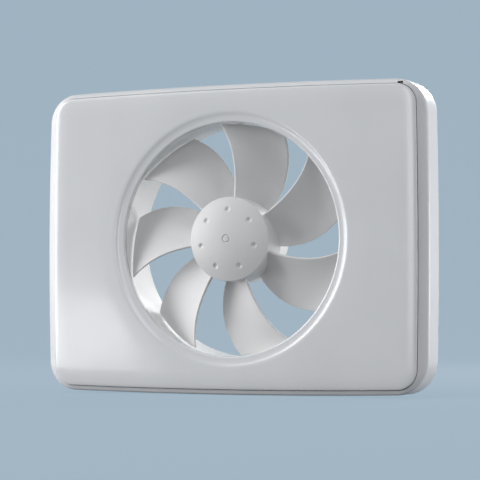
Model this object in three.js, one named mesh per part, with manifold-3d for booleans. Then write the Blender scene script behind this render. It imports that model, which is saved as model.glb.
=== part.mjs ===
// Flat exhaust fan with a 150 mm class spigot: a front plate with a rolled round
// opening, a shallow housing, a duct ring that carries the motor on three swept arms,
// and a seven-blade impeller on an external-rotor motor.
//
// Millimetres, +Z up. The fan axis is Y. The origin is on the fan axis in the plane of
// the wall, +Y runs into the wall and the face looks along -Y.

import * as THREE from 'three';
import { mergeVertices } from 'three/addons/utils/BufferGeometryUtils.js';
import Module from 'manifold-3d';

const wasm = await Module();
wasm.setup();

// ---------------------------------------------------------------- driving sizes

// Whole fan
const faceDepth = 22; // wall plane to the front plate's face
const spigotReach = 11.6; // how far the duct ring passes behind the wall plane
const fit = 0.3; // clearance between two pieces that rest on each other

// Front plate
const plateWidth = 232;
const plateHeight = 175.4;
const plateCorner = 11.5;
const plateSideBow = 0.8;
const plateTopBow = 1.3;
const plateSheet = 2.2;
const plateWall = 2;
const plateSkirt = 4.5; // depth of the plate's turned edge
const plateCrownWidth = 10.5; // band inside the plate's edge where the face falls away
const plateCrownDrop = 1.3;
const lipShelf = 3.8; // width of the shallow slope round the rolled lip
const lipShelfDepth = 0.78;
const lipRoll = 5.2; // width of the rolled lip round the opening
const lipDepth = 2.9; // how far the lip dips behind the face
const lipOverhang = 0.6; // how far the lip covers the duct ring's edge
const lipGap = 0.6; // open joint between the lip and the duct ring

// Plate tongues and their sockets
const tongueWidth = 8;
const tongueThick = 2;
const tongueInsetX = 9; // from the plate's side to a tongue's middle
const tongueInsetZ = 13;
const tongueEngagement = 4;
const tongueClearance = 0.35;
const socketHeight = 8.2;
const socketWall = 1.9;

// Housing
const revealGap = 0.6; // open joint between the plate and the housing's shoulder
const shoulderSide = 5.4;
const shoulderTop = 2.6;
const shoulderRound = 2.2;
const shoulderSetback = 2.4; // shoulder behind the plate's face
const housingCorner = 19;
const housingWall = 2.4;
const backWall = 2.2;
const backRecess = 1.6;
const releaseNotchInset = 10.3; // from the plate's side
const releaseNotchWidth = 3.4;
const releaseNotchDepth = 1.1;
const releaseNotchLength = 5;
const fixingInsetX = 35; // from the plate's side to a slot's middle
const fixingInsetZ = 10;
const fixingSlotWidth = 5;
const fixingSlotLength = 11;
const ribThick = 1.5;
const ribHeight = 6;
const ribPitch = 22;
const ribCount = 5;
const ribFlangeGap = 2;
const standRadius = 2;
const standInset = 3; // from the board's edge to a stand's middle

// Duct ring
const ductRadius = 69.2;
const ductWall = 2.5;
const ductEntryRound = 1.1;
const ductHoleClearance = 2.3;
const flangeWidth = 8;
const flangeThick = 2.4;
const sealRibHeight = 1.7;
const sealRibWidth = 1.2;
const sealRibInset = [2, 7]; // from the spigot's end to each rib
const armStartAngles = [84, 211, 324];
const armSweep = 9;
const armWidth = 4.8;
const armDepth = 8;
const armInset = 2; // from the spigot's end to the arms

// Impeller
const bladeCount = 7;
const tipClearance = 1.4;
const hubRadius = 24.85;
const hubWall = 2;
const hubSetback = 1.6; // hub rim behind the plate's face
const hubEdgeRound = 1;
const hubLength = 18.9;
const domeRise = 4.4;
const leadAngle = 137.4;
const leadSweep = 10;
const leadSetback = 5.5; // leading edge behind the plate's face
const trailAngle = 93.9;
const trailSweep = 22.2;
const trailSetback = 20.2;
const trailTipLift = 2.2;
const bladeThick = 1.8;
const bladeTipThick = 1.5;
const bladeCamber = 1.6;
const dimpleCircle = 17.3;
const dimpleRadius = 1.7;
const dimpleDepth = 0.9;
const gateRingRadius = 2.4;
const gateRingWidth = 0.9;
const gateRingDepth = 0.5;

// Motor
const motorGap = 0.8; // between the impeller's hub and the fixed motor base
const baseWall = 2;
const baseFloor = 2.5;
const rotorWall = 1.2;
const rotorInset = 0.6;
const magnetThick = 2.4;
const magnetLength = 12;
const airGap = 0.6;
const coreLength = 8;
const coilLength = 5.2; // along the pole
const poleCount = 4;
const poleWidth = 5;
const poleShoe = 2.4;
const poleShoeArc = 66;
const coilThick = 2.2;
const coilRadialGap = 0.5;
const shaftRadius = 1.5;
const shaftTail = 3.6;
const bearingRadius = 3.75;
const bearingLength = 4;
const bearingTubeWall = 1;
const tubeBossWall = 1.9;
const clipThick = 0.6;
const clipWidth = 1.2;
const clipGroove = 0.35;
const boardThick = 1.6;
const boardSeatHeight = 3; // motor board's stands above the base's floor
const seatRadius = 1.6;
const seatInset = 2.6;
const collarWall = 1.6;
const collarHeight = 1.2;
const collarGap = 1; // between the rotor's collar and the front bearing
const clipInset = 1.6; // from the shaft's end
const tubeLead = 0.4; // bearing tube ahead of the front bearing
const rearBearingInset = 4.4; // from the shaft's end
const raceWidth = 0.6;
const shieldSetback = 0.3;

// Electronics bay, to the right of the duct
const bayWidth = 19;
const bayGap = 0.9; // between the bay's cover and the plate's turned edge
const bayTopInset = 39; // from the plate's top to the bay's
const coverGap = 1.1; // between the bay's cover and the plate's sheet
const coverWall = 1.5;
const boardMargin = 1.2;
const boardStandoff = 1.4;
const terminalWidth = 12;
const terminalDepth = 7.4;
const terminalHeight = 12;
const terminalInset = 1; // from the board's lower edge
const terminalWays = 3;
const moduleWidth = 12;
const moduleDepth = 7.4;
const moduleHeight = 30;
const moduleInset = 6; // from the board's upper edge
const moduleCorner = 1.5;
const moduleRound = 0.8;
const capacitorRadius = 4;
const capacitorLength = 7.4;
const capacitorDrop = 8; // below the board's middle
const lugHeight = 4.2;
const lugRadius = 3.6;

// Supply cable's entry and clamp
const entryOffset = 6.2; // from the clamp's middle, sideways
const entryDrop = 11; // below the clamp
const entryNeck = 5.5;
const entryFlange = 7.4;
const entryFlangeThick = 1.3;
const entryBore = 3.1;
const cableNotchGap = 0.5; // round the cable where it enters the bay's cover
const clampInsetZ = 33; // from the plate's lower edge
const clampToBay = 8;
const clampSpan = 14;
const clampWidth = 6;
const clampThick = 2.4;

// Motor lead and wall seal
const leadRadius = 1;
const leadClearance = 0.4;
const leadOverTerminal = 3;
const leadOverBoard = 1;
const leadIntoBay = 5;
const leadBend = 6; // straight run before the bay's wall
const sealEdgeGap = 1; // from the housing's rim
const sealWidth = 5;
const sealThick = 1.3;

// Screws
const screwHead = 2.6;
const screwHeadHeight = 1.8;
const screwShank = 1.3;
const screwSlotWidth = 0.8;
const screwSlotDepth = 0.9;

// ---------------------------------------------------------------- derived places

const faceY = -faceDepth;
const shoulderY = faceY + shoulderSetback;
const backWallRear = -backRecess;
const backWallFront = backWallRear - backWall;
const lipRadius = ductRadius - lipOverhang;
const lipOuter = lipRadius + lipRoll + lipShelf;
const lipRear = faceY + lipDepth + lipGap / 2;
const ductFront = lipRear + lipGap;
const ductOuter = ductRadius + ductWall;
const flangeOuter = ductOuter + flangeWidth;
const flangeRear = backWallFront - fit;
const flangeFront = flangeRear - flangeThick;
const ductHole = ductOuter + ductHoleClearance;
const ductScrewRadius = (ductHole + flangeOuter) / 2;
const tipRadius = ductRadius - tipClearance;
const hubFront = faceY + hubSetback;
const hubRear = hubFront + hubLength;
const baseFront = hubRear + motorGap;
const baseInner = hubRadius - baseWall;
const floorFront = spigotReach - baseFloor;
const armFront = spigotReach - armInset - armDepth;
const armRear = spigotReach - armInset;
const ledgeHalfWidth = plateWidth / 2 + revealGap;
const ledgeHalfHeight = plateHeight / 2 + revealGap;
const housingHalfWidth = ledgeHalfWidth + shoulderSide;
const housingHalfHeight = ledgeHalfHeight + shoulderTop;
const tongueX = plateWidth / 2 - tongueInsetX;
const tongueZ = plateHeight / 2 - tongueInsetZ;
const fixingSlotX = plateWidth / 2 - fixingInsetX;
const fixingSlotZ = plateHeight / 2 - fixingInsetZ;
const releaseNotchX = plateWidth / 2 - releaseNotchInset;
const bayCentreX = plateWidth / 2 - plateWall - bayGap - bayWidth / 2;
const bayLeft = bayCentreX - bayWidth / 2;
const cableNotch = entryBore + cableNotchGap;
const clampX = bayLeft + coverWall + cableNotch;
const clampZ = clampInsetZ - plateHeight / 2;
const entryX = clampX - entryOffset;
const entryZ = clampZ - entryDrop;
const bayBottom = clampZ + clampWidth / 2 + clampToBay;
const bayTop = plateHeight / 2 - bayTopInset;
const bayZ = (bayTop + bayBottom) / 2;
const bayHeight = bayTop - bayBottom;
const coverRear = backWallFront - fit;
const coverFront = faceY + plateSheet + coverGap;
const boardRear = backWallFront - boardStandoff - fit;
const boardFront = boardRear - boardThick;
const partsRear = boardFront - fit;
const boardSeat = floorFront - boardSeatHeight;
const motorBoardRear = boardSeat - fit;
const leadArmY = motorBoardRear + leadClearance + leadRadius;
const leadAngleEnd = armStartAngles[2] + armSweep;
const leadRise = ductOuter + fit + leadRadius;

// ---------------------------------------------------------------- helpers

const degrees = THREE.MathUtils.degToRad;
const round = 48; // steps round a large circle
const middling = 32; // steps round a hub-sized circle
const fine = 12; // steps round a small circle

/** Turns a closed geometry into a solid with its faces pointing out. */
function solid(geometry) {
  const bare = geometry.index ? geometry.toNonIndexed() : geometry;
  bare.deleteAttribute('normal');
  bare.deleteAttribute('uv');
  const merged = mergeVertices(bare, 1e-4);
  const points = merged.attributes.position.array;
  const corners = Array.from(merged.index.array);
  const faces = [];
  let volume = 0;
  for (let i = 0; i < corners.length; i += 3) {
    const [a, b, c] = corners.slice(i, i + 3);
    if (a !== b && b !== c && c !== a) {
      faces.push([a, b, c]);
      const [pa, pb, pc] = [a, b, c].map((k) => new THREE.Vector3().fromArray(points, 3 * k));
      volume += pa.dot(pb.cross(pc));
    }
  }
  const ordered = volume > 0 ? faces : faces.map(([a, b, c]) => [a, c, b]);
  return new wasm.Manifold(new wasm.Mesh({
    numProp: 3,
    vertProperties: new Float32Array(points),
    triVerts: new Uint32Array(ordered.flat()),
  }));
}

/** Joins several solids into one. */
function join(...solids) {
  return solids.reduce((whole, piece) => whole.add(piece));
}

/** Cuts several solids out of one. */
function cut(body, ...tools) {
  return tools.reduce((rest, tool) => rest.subtract(tool), body);
}

/** A solid of revolution about Y from [radius, y] corners that close on themselves. */
function turned(corners, steps = round) {
  const profile = corners.map(([radius, y]) => new THREE.Vector2(radius, y));
  profile.push(profile[0].clone());
  return solid(new THREE.LatheGeometry(profile, steps));
}

/** A ring about Y between two radii and two heights. */
function ring(inner, outer, front, rear, steps = round) {
  return turned([[inner, front], [outer, front], [outer, rear], [inner, rear]], steps);
}

/** A plain cylinder along Y at x, z. */
function pin(radius, front, rear, x = 0, z = 0, steps = fine) {
  const geometry = new THREE.CylinderGeometry(radius, radius, rear - front, steps);
  return solid(geometry.translate(x, (front + rear) / 2, z));
}

/** A box from its centre in X and Z and its two ends along Y. */
function block(width, height, front, rear, x = 0, z = 0) {
  const geometry = new THREE.BoxGeometry(width, rear - front, height);
  return solid(geometry.translate(x, (front + rear) / 2, z));
}

/** A flat shape in X and Z carried along Y from front to rear. */
function carried(shape, front, rear, steps = 5) {
  const options = { depth: rear - front, bevelEnabled: false, curveSegments: steps };
  const geometry = new THREE.ExtrudeGeometry(shape, options);
  return solid(geometry.rotateX(Math.PI / 2).translate(0, rear, 0));
}

/** The same, with its front edge rounded over, inwards as far as the inset. */
function carriedRound(shape, front, rear, edge, edgeSteps = 2, steps = 5, inset = edge) {
  const geometry = new THREE.ExtrudeGeometry(shape, {
    depth: rear - front,
    bevelThickness: edge,
    bevelSize: inset,
    bevelOffset: -inset,
    bevelSegments: edgeSteps,
    curveSegments: steps,
  });
  const whole = solid(geometry.rotateX(Math.PI / 2).translate(0, rear + edge, 0));
  const reach = 4 * housingHalfWidth;
  return cut(whole, block(reach, reach, rear, rear + 4 * edge + 1));
}

/** A rectangle with bowed edges and round corners. */
function bowedRectangle(halfWidth, halfHeight, corner, sideBow, topBow) {
  const x = halfWidth - sideBow;
  const z = halfHeight - topBow;
  const shape = new THREE.Shape();
  shape.moveTo(-x, -z + corner);
  shape.quadraticCurveTo(-x - 2 * sideBow, 0, -x, z - corner);
  shape.absarc(-x + corner, z - corner, corner, Math.PI, Math.PI / 2, true);
  shape.quadraticCurveTo(0, z + 2 * topBow, x - corner, z);
  shape.absarc(x - corner, z - corner, corner, Math.PI / 2, 0, true);
  shape.quadraticCurveTo(x + 2 * sideBow, 0, x, -z + corner);
  shape.absarc(x - corner, -z + corner, corner, 0, -Math.PI / 2, true);
  shape.quadraticCurveTo(0, -z - 2 * topBow, -x + corner, -z);
  shape.absarc(-x + corner, -z + corner, corner, -Math.PI / 2, -Math.PI, true);
  return shape;
}

/** A slot with round ends, long in X. */
function slotShape(width, length) {
  const shape = new THREE.Shape();
  const half = (length - width) / 2;
  shape.absarc(half, 0, width / 2, -Math.PI / 2, Math.PI / 2, false);
  shape.absarc(-half, 0, width / 2, Math.PI / 2, 1.5 * Math.PI, false);
  return shape;
}

/** The point at a radius and an angle round Y, at height y. */
function polar(radius, angle, y) {
  const turn = degrees(angle);
  return new THREE.Vector3(radius * Math.cos(turn), y, radius * Math.sin(turn));
}

/** A swept strip in X and Z whose middle runs from one radius and angle to another. */
function sweptStrip(width, innerRadius, outerRadius, startAngle) {
  const steps = 5;
  const sides = [[], []];
  for (let i = 0; i <= steps; i += 1) {
    const radius = THREE.MathUtils.lerp(innerRadius, outerRadius, i / steps);
    const middle = polar(radius, armAngle(startAngle, radius), 0);
    const ahead = polar(radius + 0.1, armAngle(startAngle, radius + 0.1), 0);
    const run = ahead.sub(middle).normalize();
    const aside = new THREE.Vector2(-run.z, run.x).multiplyScalar(width / 2);
    sides[0].push(new THREE.Vector2(middle.x + aside.x, middle.z + aside.y));
    sides[1].unshift(new THREE.Vector2(middle.x - aside.x, middle.z - aside.y));
  }
  return new THREE.Shape(sides.flat());
}

/** The angle of an arm's middle line at a radius. */
function armAngle(startAngle, radius) {
  return startAngle + armSweep * (radius - hubRadius) / (ductRadius - hubRadius);
}

/** A named mesh from a solid. */
function piece(name, body, material, parent) {
  const result = body.getMesh();
  const geometry = new THREE.BufferGeometry();
  geometry.setAttribute('position', new THREE.BufferAttribute(result.vertProperties, 3));
  geometry.setIndex(new THREE.BufferAttribute(result.triVerts, 1));
  geometry.computeVertexNormals();
  const mesh = new THREE.Mesh(geometry, material);
  mesh.name = name;
  parent.add(mesh);
  return mesh;
}

// ---------------------------------------------------------------- materials

const finish = (color, roughness, metalness = 0) => (
  new THREE.MeshStandardMaterial({ color, roughness, metalness })
);
const whitePlastic = finish(0xe9eaec, 0.22);
const bladePlastic = finish(0xe2e1de, 0.16);
const innerPlastic = finish(0xd9dadb, 0.5);
const darkPlastic = finish(0x2a2b2d, 0.55);
const rubber = finish(0x1c1c1d, 0.9);
const foam = finish(0x303133, 0.95);
const steel = finish(0xb4b7ba, 0.3, 1);
const siliconSteel = finish(0x6f7377, 0.45, 1);
const copper = finish(0xb5652c, 0.35, 1);
const brass = finish(0xc9a552, 0.35, 1);
const ferrite = finish(0x3a3b3f, 0.6);
const laminate = finish(0x1f6b3c, 0.5);

// ---------------------------------------------------------------- front plate

/** The tongue or socket places, one near each corner. */
const tonguePlaces = [
  [-tongueX, -tongueZ],
  [tongueX, -tongueZ],
  [-tongueX, tongueZ],
  [tongueX, tongueZ],
];
const socketFront = backWallFront - socketHeight;

/** The rolled lip: a quarter ellipse from the face down to the opening's edge. */
function lipRing() {
  const outer = lipOuter;
  const steps = 4;
  const profile = [[outer, faceY]];
  for (let i = 0; i <= steps; i += 1) {
    const turn = degrees(90 * i / steps);
    const radius = lipRadius + lipRoll * (1 - Math.sin(turn));
    const drop = lipShelfDepth + (lipDepth - lipShelfDepth) * (1 - Math.cos(turn));
    profile.push([radius, faceY + drop]);
  }
  profile.push([lipRadius + 0.3, lipRear]);
  profile.push([lipRadius + plateSheet, lipRear]);
  profile.push([outer + plateWall, faceY + plateSheet]);
  profile.push([outer + plateWall, faceY]);
  return turned(profile);
}

/** The plate: bowed sheet, turned edge, rolled lip and four tongues. */
function frontPlate() {
  const halfWidth = plateWidth / 2;
  const halfHeight = plateHeight / 2;
  const outline = bowedRectangle(
    halfWidth, halfHeight, plateCorner, plateSideBow, plateTopBow,
  );
  const inside = bowedRectangle(
    halfWidth - plateWall, halfHeight - plateWall, plateCorner - plateWall,
    plateSideBow, plateTopBow,
  );
  const sheetRear = faceY + plateSheet;
  const skirtRear = faceY + plateSkirt;
  let body = carriedRound(
    outline, faceY, skirtRear, plateCrownDrop, 5, 5, plateCrownWidth,
  );
  body = cut(body, carried(inside, sheetRear, skirtRear + 1));
  body = cut(body, pin(lipOuter + 1, faceY - 1, skirtRear, 0, 0, round));
  body = join(body, lipRing());
  const tongueRear = socketFront + tongueEngagement;
  for (const [x, z] of tonguePlaces) {
    const tongue = block(tongueWidth, tongueThick, sheetRear - 1, tongueRear, x, z);
    const gusset = block(tongueThick, 3 * tongueThick, sheetRear - 1, sheetRear + 2, x, z);
    body = join(body, tongue, gusset);
  }
  return body;
}

// ---------------------------------------------------------------- housing

/** A screw boss or a stand-off on the housing's back wall. */
function boss(radius, height, bore, x, z) {
  const post = pin(radius, backWallFront - height, backWallFront + 0.5, x, z);
  return bore ? cut(post, pin(bore, backWallFront - height - 1, backWallFront, x, z)) : post;
}

const lugPlaces = [
  [bayCentreX, bayTop + lugRadius + fit],
  [bayCentreX + bayWidth / 2 - lugRadius, bayBottom - lugRadius - fit],
];
const clampPlaces = [
  [clampX - clampSpan / 2, clampZ],
  [clampX + clampSpan / 2, clampZ],
];
const ductScrewAngles = [45, 135, 225, 315];
const ductScrewPlaces = ductScrewAngles.map((angle) => {
  const place = polar(ductScrewRadius, angle, 0);
  return [place.x, place.z];
});

/** The lead's way up the outside of the duct, as a cutting block. */
function leadChase(innerRadius, front, rear) {
  const outer = leadRise + leadRadius + leadClearance;
  const width = 2 * (leadRadius + leadClearance);
  const geometry = new THREE.BoxGeometry(outer - innerRadius, rear - front, width);
  geometry.translate((outer + innerRadius) / 2, (front + rear) / 2, 0);
  return solid(geometry.rotateY(-degrees(leadAngleEnd)));
}

/** The housing: rounded frame, recessed back wall, sockets, bosses and ribs. */
function housing() {
  const outline = bowedRectangle(
    housingHalfWidth, housingHalfHeight, housingCorner, plateSideBow, plateTopBow,
  );
  const ledge = bowedRectangle(
    ledgeHalfWidth, ledgeHalfHeight, plateCorner + revealGap, plateSideBow, plateTopBow,
  );
  const recess = bowedRectangle(
    housingHalfWidth - housingWall, housingHalfHeight - housingWall,
    housingCorner - housingWall, plateSideBow, plateTopBow,
  );
  let body = carriedRound(outline, shoulderY, 0, shoulderRound, 3);
  body = cut(body, carried(ledge, shoulderY - 1, backWallFront));
  body = cut(body, carried(recess, backWallRear, 1));
  body = cut(body, pin(ductHole, backWallFront - 1, 1, 0, 0, round));
  const notchZ = ledgeHalfHeight - plateTopBow;
  const notch = block(
    releaseNotchWidth, 2 * releaseNotchDepth, shoulderY - 1,
    shoulderY + releaseNotchLength, releaseNotchX, notchZ,
  );
  body = cut(body, notch, leadChase(ductOuter, backWallFront - 1, 1));
  for (const [x, z] of tonguePlaces) {
    const width = tongueWidth + 2 * tongueClearance;
    const thick = tongueThick + 2 * tongueClearance;
    const outer = block(
      width + 2 * socketWall, thick + 2 * socketWall, socketFront, backWallFront + 0.5, x, z,
    );
    body = cut(join(body, outer), block(width, thick, socketFront - 1, backWallFront, x, z));
  }
  for (const x of [-fixingSlotX, fixingSlotX]) {
    for (const z of [-fixingSlotZ, fixingSlotZ]) {
      const shape = slotShape(fixingSlotWidth, fixingSlotLength);
      const slot = carried(shape, backWallFront - 1, 1);
      body = cut(body, slot.translate([x, 0, z]));
    }
  }
  for (const [x, z] of lugPlaces) {
    body = join(body, boss(lugRadius, lugHeight, screwShank + fit, x, z));
  }
  for (const [x, z] of clampPlaces) {
    body = join(body, boss(clampWidth / 2, lugHeight, screwShank + fit, x, z));
  }
  for (const [x, z] of ductScrewPlaces) {
    body = cut(body, pin(screwShank + fit, backWallFront - 1, backWallRear + 1, x, z));
  }
  const standX = bayWidth / 2 - coverWall - boardMargin - standInset;
  const standZ = bayHeight / 2 - coverWall - boardMargin - standInset;
  for (const x of [-standX, standX]) {
    for (const z of [-standZ, standZ]) {
      body = join(body, boss(standRadius, boardStandoff, 0, bayCentreX + x, bayZ + z));
    }
  }
  for (let i = 0; i < ribCount; i += 1) {
    const z = ribPitch * (i - (ribCount - 1) / 2);
    const inner = Math.sqrt(Math.max(flangeOuter ** 2 - z ** 2, 0)) + ribFlangeGap;
    const length = ledgeHalfWidth - inner;
    const x = -(ledgeHalfWidth + inner) / 2;
    const rib = block(length, ribThick, backWallFront - ribHeight, backWallFront + 0.5, x, z);
    body = join(body, rib);
  }
  return cut(body, pin(entryNeck + fit, backWallFront - 1, 1, entryX, entryZ));
}

// ---------------------------------------------------------------- duct ring

/** The arm's outline carried from its front to its rear. */
function arm(startAngle) {
  const strip = sweptStrip(armWidth, hubRadius - 1, ductRadius + 1, startAngle);
  return carried(strip, armFront, armRear);
}

/** The duct ring: tube, flange, sealing ribs, three swept arms and the motor base. */
function ductRing() {
  const corner = ductEntryRound;
  const tube = turned([
    [ductRadius, ductFront + corner],
    [ductRadius + 0.3 * corner, ductFront + 0.3 * corner],
    [ductRadius + corner, ductFront],
    [ductOuter, ductFront],
    [ductOuter, flangeFront],
    [flangeOuter, flangeFront],
    [flangeOuter, flangeRear],
    [ductOuter, flangeRear],
    [ductOuter, spigotReach],
    [ductRadius, spigotReach],
  ]);
  let body = tube;
  for (const inset of sealRibInset) {
    const middle = spigotReach - inset;
    body = join(body, turned([
      [ductOuter - 0.5, middle - sealRibWidth],
      [ductOuter + sealRibHeight, middle - 0.3 * sealRibWidth],
      [ductOuter + sealRibHeight, middle + 0.3 * sealRibWidth],
      [ductOuter - 0.5, middle + sealRibWidth],
    ]));
  }
  const base = cut(
    pin(hubRadius, baseFront, spigotReach, 0, 0, middling),
    pin(baseInner, baseFront - 1, floorFront, 0, 0, middling),
  );
  body = join(body, base);
  for (const angle of armStartAngles) {
    body = join(body, arm(angle));
  }
  body = cut(body, pin(baseInner, baseFront - 1, floorFront, 0, 0, middling));
  const bore = bearingRadius + fit + bearingTubeWall + fit;
  const tubeBoss = cut(
    pin(bore + tubeBossWall, tubeBossFront, floorFront + 0.5),
    pin(bore, tubeBossFront - 1, floorFront),
  );
  body = join(body, tubeBoss);
  for (let i = 0; i < 3; i += 1) {
    const place = polar(baseInner - seatInset, 60 + 120 * i, 0);
    const stand = pin(seatRadius, boardSeat, floorFront + 0.5, place.x, place.z);
    body = join(body, stand);
  }
  const groove = 2 * (leadRadius + leadClearance);
  const channel = sweptStrip(groove, baseInner - 1, ductOuter + 2, armStartAngles[2]);
  const channelFront = leadArmY - leadRadius - leadClearance;
  body = cut(body, carried(channel, channelFront, armRear + 0.01));
  body = cut(body, leadChase(ductOuter, flangeFront - 1, leadArmY + 2));
  for (const [x, z] of ductScrewPlaces) {
    body = cut(body, pin(screwShank + fit, flangeFront - 1, flangeRear + 1, x, z));
  }
  return body;
}

// ---------------------------------------------------------------- impeller

/** A point on a blade's middle surface: span 0 at the hub, chord 0 at the lead edge. */
function bladePoint(span, chord) {
  const rootRadius = hubRadius - hubWall / 2;
  const radius = THREE.MathUtils.lerp(rootRadius, tipRadius, span);
  const swept = Math.max(span, 0);
  const lead = leadAngle + leadSweep * swept ** 2;
  const trail = trailAngle + trailSweep * swept ** 1.5;
  const angle = THREE.MathUtils.lerp(lead, trail, chord);
  const trailY = faceY + trailSetback - trailTipLift * span;
  const y = THREE.MathUtils.lerp(faceY + leadSetback, trailY, chord);
  return polar(radius, angle, y + bladeCamber * 4 * chord * (1 - chord));
}

/** One blade, bent from a thin box with rounded lead and trail edges. */
function blade(index) {
  const geometry = new THREE.BoxGeometry(1, 1, 1, 7, 2, 7);
  const points = geometry.attributes.position;
  const nudge = 1e-3;
  for (let i = 0; i < points.count; i += 1) {
    const across = points.getY(i) * 2;
    const span = THREE.MathUtils.clamp(points.getZ(i) + 0.5, 0, 1);
    const even = THREE.MathUtils.clamp(points.getX(i) + 0.5, 0, 1);
    const chord = 0.5 - 0.5 * Math.cos(Math.PI * even);
    const middle = bladePoint(span, chord);
    const alongChord = bladePoint(span, chord + nudge).sub(bladePoint(span, chord - nudge));
    const alongSpan = bladePoint(span + nudge, chord).sub(bladePoint(span - nudge, chord));
    const out = alongChord.clone().cross(alongSpan).normalize();
    const thick = THREE.MathUtils.lerp(bladeThick, bladeTipThick, span);
    const isEdge = even < 1e-6 || even > 1 - 1e-6;
    const fade = isEdge ? 0.55 : 1;
    const place = middle.addScaledVector(out, across * fade * thick / 2);
    if (isEdge && Math.abs(across) < 0.5) {
      const side = even < 0.5 ? -1 : 1;
      place.addScaledVector(alongChord.normalize(), side * thick * 0.3);
    }
    const radius = Math.hypot(place.x, place.z);
    const wanted = Math.min(radius, tipRadius);
    points.setXYZ(i, place.x * wanted / radius, place.y, place.z * wanted / radius);
  }
  geometry.rotateY(degrees(360 * index / bladeCount));
  return solid(geometry);
}

/** The radius at which the hub's dome meets its rounded edge. */
const domeRadius = hubRadius - hubEdgeRound;

/** How far the dome's surface stands ahead of the hub's rim at a radius. */
function domeHeight(radius) {
  const sphere = (domeRadius ** 2 + domeRise ** 2) / (2 * domeRise);
  return Math.sqrt(sphere ** 2 - radius ** 2) - (sphere - domeRise);
}

/** The impeller: domed hub cup with its dimples, and the blades. */
function impeller() {
  const steps = 4;
  const profile = [];
  for (let i = 0; i <= steps; i += 1) {
    const radius = domeRadius * i / steps;
    profile.push([radius, hubFront - domeHeight(radius)]);
  }
  profile.push([hubRadius - 0.3 * hubEdgeRound, hubFront + 0.3 * hubEdgeRound]);
  profile.push([hubRadius, hubFront + hubEdgeRound]);
  profile.push([hubRadius, hubRear]);
  profile.push([hubRadius - hubWall, hubRear]);
  profile.push([hubRadius - hubWall, hubFront + hubWall]);
  profile.push([0, hubFront + hubWall]);
  let body = turned(profile, middling);
  for (let i = 0; i < bladeCount; i += 1) {
    body = join(body, blade(i));
  }
  for (let i = 0; i < bladeCount; i += 1) {
    const surface = hubFront - domeHeight(dimpleCircle);
    const sphere = (dimpleRadius ** 2 + dimpleDepth ** 2) / (2 * dimpleDepth);
    const depth = surface + dimpleDepth - sphere;
    const place = polar(dimpleCircle, 90 - 360 * i / bladeCount, depth);
    const ball = new THREE.SphereGeometry(sphere, 10, 8).rotateX(Math.PI / 2);
    body = cut(body, solid(ball.translate(place.x, place.y, place.z)));
  }
  const apex = hubFront - domeRise;
  const groove = ring(
    gateRingRadius - gateRingWidth, gateRingRadius, apex - 1, apex + gateRingDepth, fine,
  );
  return cut(body, groove);
}

// ---------------------------------------------------------------- motor

const rotorOuter = hubRadius - hubWall - fit;
const rotorFront = hubFront + hubWall + fit;
const rotorRear = hubRear - rotorInset;
const magnetOuter = rotorOuter - rotorWall - fit;
const magnetInner = magnetOuter - magnetThick;
const magnetFront = rotorRear - fit - magnetLength;
const coreOuter = magnetInner - airGap;
const coreMiddle = magnetFront + magnetLength / 2;
const coreFront = coreMiddle - coreLength / 2;
const coreRear = coreMiddle + coreLength / 2;
const bearingTubeOuter = bearingRadius + fit + bearingTubeWall;
const coreBore = bearingTubeOuter + fit;
const coilHole = poleWidth + 2 * fit;
const coilHalf = coilHole / 2 + coilThick;
const shoeInner = coreOuter - poleShoe;
const coilOuter = Math.sqrt(shoeInner ** 2 - coilHalf ** 2) - coilRadialGap;
const coilInner = coilOuter - coilLength;
const coreHubRadius = coilInner - coilRadialGap;
const collarRear = rotorFront + rotorWall + collarHeight;
const frontBearingFront = collarRear + collarGap;
const tubeFront = frontBearingFront - tubeLead;
const shaftRear = baseFront + shaftTail;
const rearBearingFront = shaftRear - rearBearingInset - bearingLength;
const motorBoardFront = motorBoardRear - boardThick;
const tubeBossFront = motorBoardRear + 0.6;

/** The steel cup that carries the magnet and the shaft's collar. */
function rotorCup() {
  const collar = shaftRadius + fit + collarWall;
  return turned([
    [shaftRadius + fit, rotorFront],
    [rotorOuter, rotorFront],
    [rotorOuter, rotorRear],
    [rotorOuter - rotorWall, rotorRear],
    [rotorOuter - rotorWall, rotorFront + rotorWall],
    [collar, rotorFront + rotorWall],
    [collar, collarRear],
    [shaftRadius + fit, collarRear],
  ], middling);
}

/** The shaft, with the clip's groove near its tail. */
function shaft() {
  const grooveFront = shaftRear - clipInset - clipThick - fit;
  const grooveRear = grooveFront + clipThick + 2 * fit;
  return turned([
    [0, rotorFront],
    [shaftRadius, rotorFront],
    [shaftRadius, grooveFront],
    [shaftRadius - clipGroove, grooveFront],
    [shaftRadius - clipGroove, grooveRear],
    [shaftRadius, grooveRear],
    [shaftRadius, shaftRear],
    [0, shaftRear],
  ], fine);
}

/** The spring clip that sits in the shaft's groove. */
function shaftClip() {
  const inner = shaftRadius - clipGroove + fit;
  const front = shaftRear - clipInset - clipThick;
  return ring(inner, inner + clipWidth, front, front + clipThick, fine);
}

/** A ball bearing as one ring with its two shields set back. */
function bearing(front) {
  const inner = shaftRadius + fit;
  const raceInner = inner + raceWidth;
  const raceOuter = bearingRadius - raceWidth;
  const rear = front + bearingLength;
  return turned([
    [inner, front],
    [raceInner, front],
    [raceInner, front + shieldSetback],
    [raceOuter, front + shieldSetback],
    [raceOuter, front],
    [bearingRadius, front],
    [bearingRadius, rear],
    [raceOuter, rear],
    [raceOuter, rear - shieldSetback],
    [raceInner, rear - shieldSetback],
    [raceInner, rear],
    [inner, rear],
  ], fine);
}

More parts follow.
